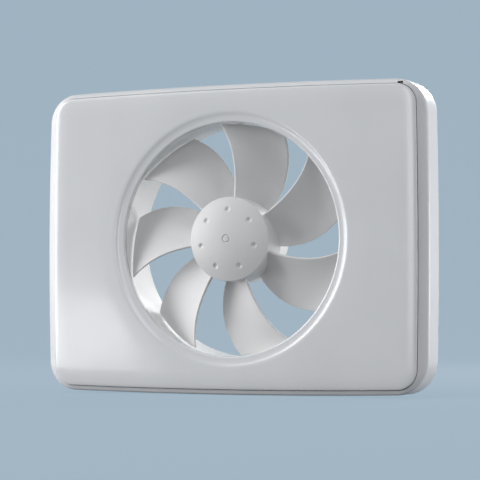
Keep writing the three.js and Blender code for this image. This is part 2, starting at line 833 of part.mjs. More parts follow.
/** The laminated core: a hub and four poles with curved shoes. */
function statorCore() {
  let body = pin(coreHubRadius, coreFront, coreRear, 0, 0, middling);
  for (let i = 0; i < poleCount; i += 1) {
    const angle = 45 + 360 * i / poleCount;
    const reach = coreOuter - poleShoe / 2;
    const neck = new THREE.BoxGeometry(reach - coreBore, coreLength, poleWidth);
    neck.translate((reach + coreBore) / 2, coreMiddle, 0);
    body = join(body, solid(neck.rotateY(-degrees(angle))));
    const half = degrees(poleShoeArc / 2);
    const turn = degrees(angle);
    const shoe = new THREE.Shape();
    shoe.absarc(0, 0, coreOuter, turn - half, turn + half, false);
    shoe.absarc(0, 0, shoeInner, turn + half, turn - half, true);
    body = join(body, carried(shoe, coreFront, coreRear, 5));
  }
  return cut(body, pin(coreBore, coreFront - 1, coreRear + 1, 0, 0, middling));
}

/** One winding round a pole's neck. */
function coil(index) {
  const angle = 45 + 360 * index / poleCount;
  const holeLength = coreLength + 2 * fit;
  const wrap = new THREE.BoxGeometry(coilLength, holeLength + 2 * coilThick, 2 * coilHalf);
  const hole = new THREE.BoxGeometry(coilLength + 2, holeLength, coilHole);
  const body = geometryOf(cut(solid(wrap), solid(hole)));
  body.translate((coilInner + coilOuter) / 2, coreMiddle, 0);
  return solid(body.rotateY(-degrees(angle)));
}

/** The bare geometry of a solid. */
function geometryOf(body) {
  const result = body.getMesh();
  const geometry = new THREE.BufferGeometry();
  geometry.setAttribute('position', new THREE.BufferAttribute(result.vertProperties, 3));
  geometry.setIndex(new THREE.BufferAttribute(result.triVerts, 1));
  return geometry;
}

/** The motor's round board, in front of the lead. */
function motorBoard() {
  const inner = coreBore + fit;
  return ring(inner, baseInner - 2 * fit, motorBoardFront, motorBoardRear, middling);
}

// ---------------------------------------------------------------- electronics

/** The cover over the control board, with two screw lugs and wire notches. */
function boardCover() {
  const outer = block(bayWidth, bayHeight, coverFront, coverRear, bayCentreX, bayZ);
  const inner = block(
    bayWidth - 2 * coverWall, bayHeight - 2 * coverWall,
    coverFront + coverWall, coverRear + 1, bayCentreX, bayZ,
  );
  let body = outer;
  const lugRear = backWallFront - lugHeight - fit;
  for (const [x, z] of lugPlaces) {
    const inward = z > bayZ ? -lugRadius : lugRadius;
    const lug = join(
      pin(lugRadius, lugRear - coverWall, lugRear, x, z),
      block(2 * lugRadius, 2 * lugRadius, lugRear - coverWall, lugRear, x, z + inward),
    );
    body = join(body, lug);
  }
  body = cut(body, inner);
  for (const [x, z] of lugPlaces) {
    body = cut(body, pin(screwShank + fit, lugRear - coverWall - 1, lugRear + 1, x, z));
  }
  const leadHalf = leadRadius + leadClearance;
  const leadNotch = block(
    4 * coverWall, 2 * leadHalf, leadBayY - leadHalf, coverRear + 1, bayLeft, leadBayZ,
  );
  const notch = block(
    2 * cableNotch, 4 * coverWall, coverRear - 2 * entryBore, coverRear + 1, clampX, bayBottom,
  );
  return cut(body, leadNotch, notch);
}

const terminalBottom = bayBottom + coverWall + boardMargin + terminalInset;
const leadBayY = boardFront - fit - leadOverBoard - leadRadius;
const leadBayZ = terminalBottom + terminalHeight + leadOverTerminal;

/** The control board. */
function controlBoard() {
  const width = bayWidth - 2 * (coverWall + boardMargin);
  const height = bayHeight - 2 * (coverWall + boardMargin);
  return block(width, height, boardFront, boardRear, bayCentreX, bayZ);
}

/** The terminal block with a screw well and a wire hole for each way. */
function terminalBlock() {
  const front = partsRear - terminalDepth;
  const z = terminalBottom + terminalHeight / 2;
  let body = block(terminalWidth, terminalHeight, front, partsRear, bayCentreX, z);
  const pitch = terminalWidth / terminalWays;
  const wellRear = front + 0.4 * terminalDepth;
  const holeFront = front + 0.5 * terminalDepth;
  const holeRear = front + 0.85 * terminalDepth;
  for (let i = 0; i < terminalWays; i += 1) {
    const x = bayCentreX + pitch * (i - (terminalWays - 1) / 2);
    const well = pin(0.3 * pitch, front - 1, wellRear, x, z + 0.15 * terminalHeight);
    const hole = block(0.55 * pitch, 0.4 * terminalHeight, holeFront, holeRear);
    body = cut(body, well, hole.translate([x, 0, terminalBottom]));
  }
  return body;
}

/** The potted power supply on the board. */
function powerModule() {
  const shape = bowedRectangle(moduleWidth / 2, moduleHeight / 2, moduleCorner, 0, 0);
  const body = carriedRound(shape, partsRear - moduleDepth, partsRear, moduleRound, 1, 2);
  const top = bayTop - coverWall - boardMargin - moduleInset;
  return body.translate([bayCentreX, 0, top - moduleHeight / 2]);
}

/** The supply's smoothing capacitor, standing on the board. */
function capacitor() {
  const front = partsRear - capacitorLength;
  const body = turned([
    [0, front],
    [capacitorRadius - 0.5, front],
    [capacitorRadius, front + 0.5],
    [capacitorRadius, partsRear],
    [0, partsRear],
  ], fine);
  return body.translate([bayCentreX, 0, bayZ - capacitorDrop]);
}

/** The rubber grommet in the back wall where the supply enters. */
function entryGrommet() {
  const rear = backWallRear + fit + entryFlangeThick;
  const front = backWallFront - fit - entryFlangeThick;
  const body = turned([
    [entryBore, front],
    [entryFlange, front],
    [entryFlange, backWallFront - fit],
    [entryNeck, backWallFront - fit],
    [entryNeck, backWallRear + fit],
    [entryFlange, backWallRear + fit],
    [entryFlange, rear],
    [entryBore, rear],
  ], fine);
  return body.translate([entryX, 0, entryZ]);
}

/** The clamp bar over the supply cable, with its arched middle. */
function cableClamp() {
  const rear = backWallFront - lugHeight - fit;
  const front = rear - clampThick;
  let body = carried(slotShape(clampWidth, clampSpan + clampWidth), front, rear, 4);
  const arch = new THREE.CylinderGeometry(entryBore, entryBore, clampWidth + 2, fine);
  const lowered = arch.rotateX(Math.PI / 2).translate(0, rear + 0.5 * entryBore, 0);
  body = cut(body, solid(lowered));
  for (const side of [-1, 1]) {
    body = cut(body, pin(screwShank + fit, front - 1, rear + 1, side * clampSpan / 2, 0));
  }
  return body.translate([clampX, 0, clampZ]);
}

// ---------------------------------------------------------------- lead, seal, screws

/** The motor's lead: out along the arm, up the duct's outside and into the bay. */
function motorLead() {
  const startAngle = armStartAngles[2];
  const along = (radius) => polar(radius, armAngle(startAngle, radius), leadArmY);
  const points = [];
  for (let radius = baseInner - 4; radius < ductRadius; radius += 7.5) {
    points.push(along(radius));
  }
  points.push(along(ductRadius + 0.5));
  points.push(polar(leadRise - 0.35, leadAngleEnd, leadArmY - 0.9));
  points.push(polar(leadRise, leadAngleEnd, leadArmY - 3));
  points.push(polar(leadRise, leadAngleEnd, backWallFront));
  points.push(polar(leadRise, leadAngleEnd, flangeFront - 1));
  points.push(polar(leadRise + 2, leadAngleEnd, leadBayY + 0.4));
  points.push(new THREE.Vector3(bayLeft - leadBend, leadBayY, leadBayZ));
  points.push(new THREE.Vector3(bayLeft + leadIntoBay, leadBayY, leadBayZ));
  const section = new THREE.Shape();
  section.absarc(0, 0, leadRadius, 0, 2 * Math.PI, false);
  return solid(new THREE.ExtrudeGeometry(section, {
    steps: 44,
    curveSegments: 4,
    extrudePath: new THREE.CatmullRomCurve3(points, false, 'centripetal'),
  }));
}

/** The foam strip round the housing's back, between it and the wall. */
function wallSeal() {
  const strip = (inset) => bowedRectangle(
    housingHalfWidth - inset, housingHalfHeight - inset, housingCorner - inset,
    plateSideBow, plateTopBow,
  );
  const outer = housingWall + sealEdgeGap;
  const body = carried(strip(outer), -sealThick, 0);
  return cut(body, carried(strip(outer + sealWidth), -sealThick - 1, 1));
}

/** A pan-head screw with a cross slot, its head resting at headRear. */
function screw(x, z, headRear, length) {
  const headFront = headRear - screwHeadHeight;
  const body = turned([
    [0, headFront],
    [screwHead, headFront],
    [screwHead, headRear],
    [screwShank, headRear],
    [screwShank, headRear + length],
    [0, headRear + length],
  ], 12);
  const slotEnd = headFront + screwSlotDepth;
  const slots = [
    block(screwHead * 1.1, screwSlotWidth, headFront - 1, slotEnd),
    block(screwSlotWidth, screwHead * 1.1, headFront - 1, slotEnd),
  ];
  return cut(body, ...slots).translate([x, 0, z]);
}

// ---------------------------------------------------------------- assembly

const fan = new THREE.Group();
const fixed = new THREE.Group();
const cover = new THREE.Group();
const rotor = new THREE.Group();
fan.add(fixed, cover, rotor);

piece('front_plate', frontPlate(), whitePlastic, cover);
piece('housing', housing(), whitePlastic, fixed);
piece('duct_ring', ductRing(), innerPlastic, fixed);
piece('wall_seal', wallSeal(), foam, fixed);

piece('impeller', impeller(), bladePlastic, rotor);
piece('rotor_cup', rotorCup(), steel, rotor);
const magnet = ring(magnetInner, magnetOuter, magnetFront, rotorRear - fit, middling);
piece('rotor_magnet', magnet, ferrite, rotor);
piece('motor_shaft', shaft(), steel, rotor);
piece('shaft_clip', shaftClip(), steel, rotor);

const tubeInner = bearingRadius + fit;
const bearingTube = ring(tubeInner, bearingTubeOuter, tubeFront, floorFront - fit, fine);
piece('bearing_tube', bearingTube, brass, fixed);
piece('bearing_front', bearing(frontBearingFront), steel, fixed);
piece('bearing_rear', bearing(rearBearingFront), steel, fixed);
piece('stator_core', statorCore(), siliconSteel, fixed);
for (let i = 0; i < poleCount; i += 1) {
  piece(`stator_coil_${i + 1}`, coil(i), copper, fixed);
}
piece('motor_board', motorBoard(), laminate, fixed);
piece('motor_lead', motorLead(), darkPlastic, fixed);

piece('control_board', controlBoard(), laminate, fixed);
piece('power_module', powerModule(), darkPlastic, fixed);
piece('capacitor', capacitor(), darkPlastic, fixed);
piece('terminal_block', terminalBlock(), innerPlastic, fixed);
piece('board_cover', boardCover(), innerPlastic, fixed);
piece('cable_grommet', entryGrommet(), rubber, fixed);
piece('cable_clamp', cableClamp(), innerPlastic, fixed);

const ductScrewLength = flangeThick + fit + backWall + fit - 0.3;
ductScrewPlaces.forEach(([x, z], i) => {
  piece(`duct_screw_${i + 1}`, screw(x, z, flangeFront - fit, ductScrewLength), steel, fixed);
});
const lugScrewLength = coverWall + lugHeight;
lugPlaces.forEach(([x, z], i) => {
  const rest = backWallFront - lugHeight - fit - coverWall - fit;
  piece(`cover_screw_${i + 1}`, screw(x, z, rest, lugScrewLength), steel, fixed);
});
const clampScrewLength = clampThick + lugHeight;
clampPlaces.forEach(([x, z], i) => {
  const rest = backWallFront - lugHeight - fit - clampThick - fit;
  piece(`clamp_screw_${i + 1}`, screw(x, z, rest, clampScrewLength), steel, fixed);
});

export default fan;
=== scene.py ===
"""Looks of a flat exhaust fan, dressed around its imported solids.

Metres in the scene, millimetres in the size classes. The fan axis is Y, the wall plane is
Y = 0, the front plate looks along -Y and +Z is up.
"""

import logging
import math
from dataclasses import dataclass
from enum import Enum
from typing import Callable, ClassVar, Iterable, Optional, Sequence, Union

import bmesh
import bpy
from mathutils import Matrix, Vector


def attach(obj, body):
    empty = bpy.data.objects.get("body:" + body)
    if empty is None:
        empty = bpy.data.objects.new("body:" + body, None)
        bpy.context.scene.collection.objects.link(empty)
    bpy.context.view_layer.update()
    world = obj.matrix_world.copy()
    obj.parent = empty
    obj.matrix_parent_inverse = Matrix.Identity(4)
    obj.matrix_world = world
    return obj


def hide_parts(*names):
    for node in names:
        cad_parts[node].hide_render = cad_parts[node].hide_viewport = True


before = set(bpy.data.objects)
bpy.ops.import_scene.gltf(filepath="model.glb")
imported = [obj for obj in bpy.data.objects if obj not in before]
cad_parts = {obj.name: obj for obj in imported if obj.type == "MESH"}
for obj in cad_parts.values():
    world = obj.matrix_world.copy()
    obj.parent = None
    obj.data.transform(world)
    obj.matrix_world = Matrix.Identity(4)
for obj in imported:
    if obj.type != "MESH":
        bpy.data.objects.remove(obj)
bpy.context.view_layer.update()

MM = 0.001
log = logging.getLogger("exhaust_fan")

Flat = tuple[float, float]
Point = tuple[float, float, float]
Colour = tuple[float, float, float]
Ring = list[Point]
Number = Union[int, float, "Field"]


class Body(Enum):
    """The rigid bodies that pieces ride on."""

    FAN = "fan_body"
    COVER = "cover"
    ROTOR = "rotor"


class Slot(Enum):
    """The record's material slots."""

    WHITE = "white_plastic"
    BLADE = "blade_plastic"
    INNER = "inner_plastic"
    DARK = "dark_plastic"
    SHEATH = "cable_sheath"
    RUBBER = "rubber"
    FOAM = "foam"
    STEEL = "steel"
    CORE = "core_steel"
    COPPER = "copper"
    BRASS = "brass"
    FERRITE = "ferrite"
    BOARD = "circuit_board"


# ------------------------------------------------------------------ node trees


def operator(operation: str, turned: bool = False) -> Callable[["Field", Number], "Field"]:
    """Makes a method of Field from a Math node's operation.

    Args:
        operation: the node's operation.
        turned: whether the other value comes first.

    Returns:
        The method.
    """

    def method(self: "Field", other: Number) -> "Field":
        """The two values put together."""
        return self.sheet.math(operation, *((other, self) if turned else (self, other)))

    return method


class Field:
    """One value in a node tree, with the usual arithmetic."""

    def __init__(self, sheet: "NodeSheet", socket: bpy.types.NodeSocket) -> None:
        """Holds a socket and the sheet that it is on."""
        self.sheet = sheet
        self.socket = socket

    __add__ = operator("ADD")
    __radd__ = operator("ADD", turned=True)
    __sub__ = operator("SUBTRACT")
    __rsub__ = operator("SUBTRACT", turned=True)
    __mul__ = operator("MULTIPLY")
    __rmul__ = operator("MULTIPLY", turned=True)
    __truediv__ = operator("DIVIDE")
    __rtruediv__ = operator("DIVIDE", turned=True)
    __pow__ = operator("POWER")


class NodeSheet:
    """A node tree under construction, for a material or for geometry."""

    def __init__(self, tree: bpy.types.NodeTree) -> None:
        """Starts on the given tree, emptied."""
        self.tree = tree
        self.tree.nodes.clear()

    def put(self, socket: bpy.types.NodeSocket, value: object) -> None:
        """Links a field to an input, or sets the input's own value.

        Args:
            socket: the input.
            value: a Field, or what the input holds by itself.
        """
        if isinstance(value, Field):
            self.tree.links.new(value.socket, socket)
        else:
            socket.default_value = value

    def add(self, kind: str, inputs: Optional[dict] = None, **settings: object) -> bpy.types.Node:
        """Adds a node.

        Args:
            kind: the node's type name.
            inputs: input name or number to its value or Field.
            **settings: properties of the node itself.

        Returns:
            The new node.
        """
        node = self.tree.nodes.new(kind)
        for name, value in settings.items():
            setattr(node, name, value)
        for name, value in (inputs or {}).items():
            self.put(node.inputs[name], value)
        return node

    def out(self, node: bpy.types.Node, name: Union[str, int] = 0) -> Field:
        """One output of a node as a field."""
        return Field(self, node.outputs[name])

    def field(
        self, kind: str, inputs: Optional[dict] = None, output: Union[str, int] = 0,
        **settings: object,
    ) -> Field:
        """Adds a node as add does, and gives one of its outputs."""
        return self.out(self.add(kind, inputs, **settings), output)

    def math(self, operation: str, *values: Number) -> Field:
        """A Math node on up to three values."""
        return self.field("ShaderNodeMath", dict(enumerate(values)), operation=operation)

    def vector(self, operation: str, *values: object) -> Field:
        """A Vector Math node whose result is a vector."""
        inputs = dict(enumerate(values))
        return self.field("ShaderNodeVectorMath", inputs, "Vector", operation=operation)

    def length(self, x: Field, y: Field) -> Field:
        """The length of the line with these two parts."""
        return self.math("SQRT", x * x + y * y)

    def join_xyz(self, x: Number, y: Number, z: Number) -> Field:
        """A vector from its three parts."""
        return self.field("ShaderNodeCombineXYZ", {0: x, 1: y, 2: z})

    def split_xyz(self, vector: Field) -> list[Field]:
        """The three parts of a vector."""
        node = self.add("ShaderNodeSeparateXYZ", {0: vector})
        return [self.out(node, part) for part in range(3)]

    def clamped(self, value: Number, low: float, high: float, start: float, end: float) -> Field:
        """A value mapped from low..high to start..end and held within them."""
        inputs = {"Value": value, 1: low, 2: high, 3: start, 4: end}
        return self.field("ShaderNodeMapRange", inputs, "Result")


class GeometrySheet(NodeSheet):
    """A Geometry Nodes tree with named inputs, ending in real meshes with a material."""

    def __init__(self, name: str) -> None:
        """Makes the tree with its geometry input and output.

        Args:
            name: what the tree is called.
        """
        super().__init__(bpy.data.node_groups.new(name, "GeometryNodeTree"))
        self.identifiers: dict[str, str] = {}
        self.source = self.tree.nodes.new("NodeGroupInput")
        self.sink = self.tree.nodes.new("NodeGroupOutput")
        face = self.tree.interface
        face.new_socket("Geometry", in_out="INPUT", socket_type="NodeSocketGeometry")
        face.new_socket("Geometry", in_out="OUTPUT", socket_type="NodeSocketGeometry")

    def sizes(self, values: dict[str, float]) -> list[Field]:
        """Adds named numbers that the modifier may set.

        Args:
            values: each name with its usual value. A whole number stays whole.

        Returns:
            The numbers in the same order.
        """
        made = []
        for name, value in values.items():
            kind = "NodeSocketInt" if isinstance(value, int) else "NodeSocketFloat"
            socket = self.tree.interface.new_socket(name, in_out="INPUT", socket_type=kind)
            socket.default_value = value
            self.identifiers[name] = socket.identifier
            made.append(self.out(self.source, name))
        return made

    def geometry(self) -> Field:
        """The geometry that comes in."""
        return self.out(self.source, "Geometry")

    def position(self) -> list[Field]:
        """Each point's own coordinates."""
        return self.split_xyz(self.field("GeometryNodeInputPosition"))

    def index(self) -> Field:
        """Each point's own number."""
        return self.field("GeometryNodeInputIndex")

    def moved(self, geometry: Field, x: Number, y: Number, z: Number, by: bool = False) -> Field:
        """Geometry with its points moved to a place, or by a distance."""
        inputs = {"Geometry": geometry, "Offset" if by else "Position": self.join_xyz(x, y, z)}
        return self.field("GeometryNodeSetPosition", inputs)

    def cylinder(
        self, sides: int, radius: Number, depth: Number, ends: str = "TRIANGLE_FAN",
        **steps: int,
    ) -> Field:
        """A cylinder along Z, with its Side Segments and Fill Segments where they are given."""
        inputs = {"Vertices": sides, "Radius": radius, "Depth": depth, **steps}
        return self.field("GeometryNodeMeshCylinder", inputs, fill_type=ends)

    def copies(self, points: Field, instance: Field, **turned: Field) -> Field:
        """An instance on every point, with a Rotation or a Scale where they are given."""
        inputs = {"Points": points, "Instance": instance, **turned}
        return self.field("GeometryNodeInstanceOnPoints", inputs)

    def joined(self, *parts: Field) -> Field:
        """Several geometries as one.

        Args:
            *parts: the geometries, in order.

        Returns:
            All of them.
        """
        node = self.add("GeometryNodeJoinGeometry")
        for part in parts:
            self.put(node.inputs[0], part)
        return self.out(node)

    def end(self, geometry: Field, material: bpy.types.Material) -> None:
        """Closes the tree: instances made real, smooth, with their material.

        Args:
            geometry: the finished geometry.
            material: what it is made of.
        """
        real = self.field("GeometryNodeRealizeInstances", {0: geometry})
        smooth = self.field("GeometryNodeSetShadeSmooth", {"Geometry": real})
        inputs = {"Geometry": smooth, "Material": material}
        self.put(self.sink.inputs[0], self.field("GeometryNodeSetMaterial", inputs))

    def run(self, carrier: bpy.types.Object, sizes: Optional[dict[str, float]] = None) -> None:
        """Runs the tree on an object and leaves a plain mesh.

        Args:
            carrier: the object whose mesh goes in and comes out changed.
            sizes: named inputs to set before the first evaluation.
        """
        modifier = carrier.modifiers.new(self.tree.name, "NODES")
        modifier.node_group = self.tree
        for name, value in (sizes or {}).items():
            modifier[self.identifiers[name]] = value
        settle(carrier)


class ShaderSheet(NodeSheet):
    """A material's nodes round one Principled shader, in object coordinates."""

    def __init__(self, material: bpy.types.Material) -> None:
        """Sets up the shader, its output and the coordinates.

        Args:
            material: the material to fill.
        """
        material.use_nodes = True
        super().__init__(material.node_tree)
        self.surface = self.add("ShaderNodeBsdfPrincipled")
        self.add("ShaderNodeOutputMaterial", {"Surface": self.out(self.surface)})
        self.place = self.field("ShaderNodeTexCoord", output="Object")

    def set(self, name: str, value: object) -> None:
        """Sets or links one of the shader's inputs."""
        self.put(self.surface.inputs[name], value)

    def noise(self, size_mm: float, detail: float = 2.0, place: Optional[Field] = None) -> Field:
        """A noise pattern.

        Args:
            size_mm: the pattern's rough size in millimetres.
            detail: how much finer structure it has.
            place: coordinates other than the object's own.

        Returns:
            The pattern, from 0 to 1.
        """
        scale = 1 / (size_mm * MM)
        inputs = {"Vector": place or self.place, "Scale": scale, "Detail": detail}
        return self.field("ShaderNodeTexNoise", inputs)

    def cells(self, size_mm: float, feature: str = "F1", **inputs: float) -> Field:
        """The distance in a cell pattern of a given size in millimetres."""
        inputs = {"Vector": self.place, "Scale": 1 / (size_mm * MM), **inputs}
        return self.field("ShaderNodeTexVoronoi", inputs, "Distance", feature=feature)

    def stretched(self, scale: Point) -> Field:
        """The object's coordinates stretched along its axes."""
        return self.field("ShaderNodeMapping", {"Vector": self.place, "Scale": scale})

    def blend(self, amount: Number, first: object, second: object) -> Field:
        """A mix of two colours.

        Args:
            amount: 0 for the first, 1 for the second.
            first: a colour or a field of colour.
            second: the same.

        Returns:
            The mixed colour.
        """
        node = self.add("ShaderNodeMix", data_type="RGBA")
        self.put(node.inputs[0], amount)
        for socket, value in ((node.inputs[6], first), (node.inputs[7], second)):
            self.put(socket, value if isinstance(value, Field) else (*value, 1.0))
        return self.out(node, 2)

    def bump(self, height: Field, depth_mm: float, strength: float = 1.0) -> None:
        """Presses a height pattern from 0 to 1 into the surface, to a depth in millimetres."""
        inputs = {"Height": height, "Distance": depth_mm * MM, "Strength": strength}
        self.set("Normal", self.field("ShaderNodeBump", inputs, "Normal"))


# ------------------------------------------------------------------ finishes


@dataclass(frozen=True)
class SurfaceFinish:
    """What every finish has, and how it becomes a material."""

    name: str
    slot: Slot

    def material(self) -> bpy.types.Material:
        """Builds the Blender material.

        Returns:
            The new material.
        """
        material = bpy.data.materials.new(self.name)
        self.paint(ShaderSheet(material))
        return material

    def paint(self, sheet: ShaderSheet) -> None:
        """Sets the shader up, in each finish's own way."""
        raise NotImplementedError


@dataclass(frozen=True)
class MouldedPlastic(SurfaceFinish):
    """Injection-moulded plastic: slight cloudiness, orange peel and rubbed edges."""

    colour: Colour
    cloud: Colour
    roughness: float
    cloud_mm: float = 45.0
    speck_mm: float = 0.9
    speck_share: float = 0.25
    smear_mm: float = 14.0
    peel_mm: float = 1.6
    peel_depth_mm: float = 0.004
    peel_strength: float = 0.6
    roughness_swing: float = 0.04
    rubbed: Colour = (0.8, 0.8, 0.81)
    rubbed_share: float = 0.0
    rubbed_mm: float = 9.0
    refraction: float = 1.49
    gloss_coat: float = 0.0
    coat_roughness: float = 0.12

    def paint(self, sheet: ShaderSheet) -> None:
        """Sets the shader up.

        Args:
            sheet: the material's nodes.
        """
        cloudy = sheet.clamped(sheet.noise(self.cloud_mm, 3.0), 0.35, 0.65, 0.0, 1.0)
        colour = sheet.blend(cloudy, self.colour, self.cloud)
        speck = sheet.clamped(sheet.noise(self.speck_mm, 1.0), 0.68, 0.8, 0.0, self.speck_share)
        colour = sheet.blend(speck, colour, self.cloud)
        if self.rubbed_share > 0:
            edge = sheet.field("ShaderNodeNewGeometry", output="Pointiness")
            worn = sheet.clamped(edge, 0.56, 0.7, 0.0, self.rubbed_share)
            worn = worn * sheet.clamped(sheet.noise(self.rubbed_mm), 0.25, 0.75, 0.5, 1.0)
            colour = sheet.blend(worn, colour, self.rubbed)
        sheet.set("Base Color", colour)
        low, high = self.roughness - self.roughness_swing, self.roughness + self.roughness_swing
        smear = sheet.noise(self.smear_mm, 4.0)
        sheet.set("Roughness", sheet.clamped(smear, 0.3, 0.7, low, high))
        sheet.set("IOR", self.refraction)
        if self.gloss_coat > 0:
            sheet.set("Coat Weight", self.gloss_coat)
            sheet.set("Coat Roughness", self.coat_roughness)
        sheet.bump(sheet.noise(self.peel_mm, 1.0), self.peel_depth_mm, self.peel_strength)


@dataclass(frozen=True)
class PlatedMetal(SurfaceFinish):
    """Bright or dull metal: drawn streaks, patches and fine scratches."""

    colour: Colour
    patch: Colour
    roughness: float
    patch_mm: float = 3.5
    streak_mm: float = 0.5
    streak_depth_mm: float = 0.01
    lengthways: Point = (1.0, 0.08, 1.0)

    def paint(self, sheet: ShaderSheet) -> None:
        """Sets the shader up.

        Args:
            sheet: the material's nodes.
        """
        streak = sheet.noise(self.streak_mm, place=sheet.stretched(self.lengthways))
        patches = sheet.clamped(sheet.noise(self.patch_mm, 3.0), 0.35, 0.7, 0.0, 1.0)
        sheet.set("Base Color", sheet.blend(patches, self.colour, self.patch))
        sheet.set("Metallic", 1.0)
        rough = sheet.clamped(streak, 0.2, 0.8, self.roughness - 0.08, self.roughness + 0.12)
        sheet.set("Roughness", rough)
        sheet.bump(streak, self.streak_depth_mm, 0.5)


@dataclass(frozen=True)
class Banded(SurfaceFinish):
    """Fine bands with painted shade in the grooves: sheet stack along the axis, or wire turns by
    radius.
    """

    colour: Colour
    # painted shade: a darker copy of the band's colour, laid into the grooves
    groove: Colour
    pitch_mm: float
    metallic: float
    roughness: float
    by_radius: bool
    patch_mm: float = 1.5
    wobble_mm: float = 2.0

    def paint(self, sheet: ShaderSheet) -> None:
        """Sets the shader up.

        Args:
            sheet: the material's nodes.
        """
        x, y, z = sheet.split_xyz(sheet.place)
        run = sheet.length(x, z) if self.by_radius else y
        wobble = sheet.noise(self.wobble_mm) * (0.25 * self.pitch_mm * MM)
        wave = sheet.math("SINE", (run + wobble) * (2 * math.pi / (self.pitch_mm * MM)))
        height = sheet.clamped(wave, -1.0, 1.0, 0.0, 1.0)
        # painted shade: the grooves between sheets or wire turns are darkened toward the groove
        # colour
        shade = sheet.clamped(height, 0.0, 0.5, 1.0, 0.0)
        colour = sheet.blend(shade, self.colour, self.groove)
        patches = sheet.clamped(sheet.noise(self.patch_mm, 3.0), 0.4, 0.8, 0.0, 0.5)
        sheet.set("Base Color", sheet.blend(patches, colour, self.groove))
        sheet.set("Metallic", self.metallic)
        rough = sheet.clamped(patches, 0.0, 0.5, self.roughness, self.roughness + 0.15)
        sheet.set("Roughness", rough)
        sheet.bump(height, 0.25 * self.pitch_mm, 0.8)


@dataclass(frozen=True)
class OpenCell(SurfaceFinish):
    """Foam or rubber: cells or grain with a matt face and painted shade in the hollows."""

    colour: Colour
    # painted shade: a darker copy of the colour, laid into the cells' hollows
    pit: Colour
    cell_mm: float
    depth_mm: float
    roughness: float
    tone_mm: float = 12.0

    def paint(self, sheet: ShaderSheet) -> None:
        """Sets the shader up.

        Args:
            sheet: the material's nodes.
        """
        cell = sheet.cells(self.cell_mm)
        # painted shade: the hollow at each cell's middle is darkened toward the pit colour
        deep = sheet.clamped(cell, 0.1, 0.6, 1.0, 0.0)
        tone = sheet.clamped(sheet.noise(self.tone_mm, 3.0), 0.3, 0.7, 0.0, 0.35)
        colour = sheet.blend(deep * 0.6, self.colour, self.pit)
        sheet.set("Base Color", sheet.blend(tone, colour, self.pit))
        rough = sheet.clamped(cell, 0.0, 0.6, self.roughness, min(self.roughness + 0.1, 1.0))
        sheet.set("Roughness", rough)
        sheet.bump(cell, self.depth_mm, 0.9)


@dataclass(frozen=True)
class SolderMask(SurfaceFinish):
    """A circuit board: green mask over tracks that stand up a little."""

    mask: Colour = (0.012, 0.13, 0.055)
    track: Colour = (0.02, 0.2, 0.08)
    pad: Colour = (0.55, 0.5, 0.36)
    track_mm: float = 2.4
    track_depth_mm: float = 0.03
    pad_mm: float = 3.1
    gloss_mm: float = 5.0

    def paint(self, sheet: ShaderSheet) -> None:
        """Sets the shader up.

        Args:
            sheet: the material's nodes.
        """
        grid = sheet.cells(self.track_mm, "DISTANCE_TO_EDGE", Randomness=0.75)
        edge = sheet.clamped(grid, 0.06, 0.12, 1.0, 0.0)
        dots = sheet.clamped(sheet.cells(self.pad_mm), 0.16, 0.2, 1.0, 0.0)
        colour = sheet.blend(edge, self.mask, self.track)
        sheet.set("Base Color", sheet.blend(dots, colour, self.pad))
        sheet.set("Metallic", dots * 0.8)
        sheet.set("Roughness", sheet.clamped(sheet.noise(self.gloss_mm), 0.3, 0.7, 0.25, 0.42))
        sheet.bump(edge, self.track_depth_mm, 0.8)


def seen_rays(sheet: NodeSheet) -> Field:
    """One for rays from the camera and for those that gloss or glass sends on.

    Args:
        sheet: the tree that asks.

    Returns:
        The mask, 0 or 1.
    """
    path = sheet.add("ShaderNodeLightPath")
    direct, gloss = sheet.out(path, "Is Camera Ray"), sheet.out(path, "Is Glossy Ray")
    through = sheet.out(path, "Is Transmission Ray")
    return sheet.math("MAXIMUM", sheet.math("MAXIMUM", direct, gloss), through)


@dataclass(frozen=True)
class PaleStage:
    """The plain floor and backdrop: a pale even colour that keeps the fan's shadow."""

    name: str = "pale stage"
    matt: Colour = (0.2, 0.205, 0.21)
    matt_roughness: float = 0.6
    seen: Colour = (0.46, 0.6, 0.72)
    seen_share: float = 0.7

    def material(self) -> bpy.types.Material:
        """Builds the Blender material.

        Returns:
            The new material.
        """
        material = bpy.data.materials.new(self.name)
        material.use_nodes = True
        sheet = NodeSheet(material.node_tree)
        inputs = {"Color": (*self.matt, 1.0), "Roughness": self.matt_roughness}
        matt = sheet.field("ShaderNodeBsdfDiffuse", inputs)
        glow = sheet.field("ShaderNodeEmission", {"Color": (*self.seen, 1.0), "Strength": 1.0})
        rays = seen_rays(sheet) * self.seen_share
        mixed = sheet.field("ShaderNodeMixShader", {0: rays, 1: matt, 2: glow})
        sheet.add("ShaderNodeOutputMaterial", {"Surface": mixed})
        return material


WHITE: Colour = (0.69, 0.70, 0.72)
SOFT_WHITE: Colour = (0.665, 0.675, 0.695)


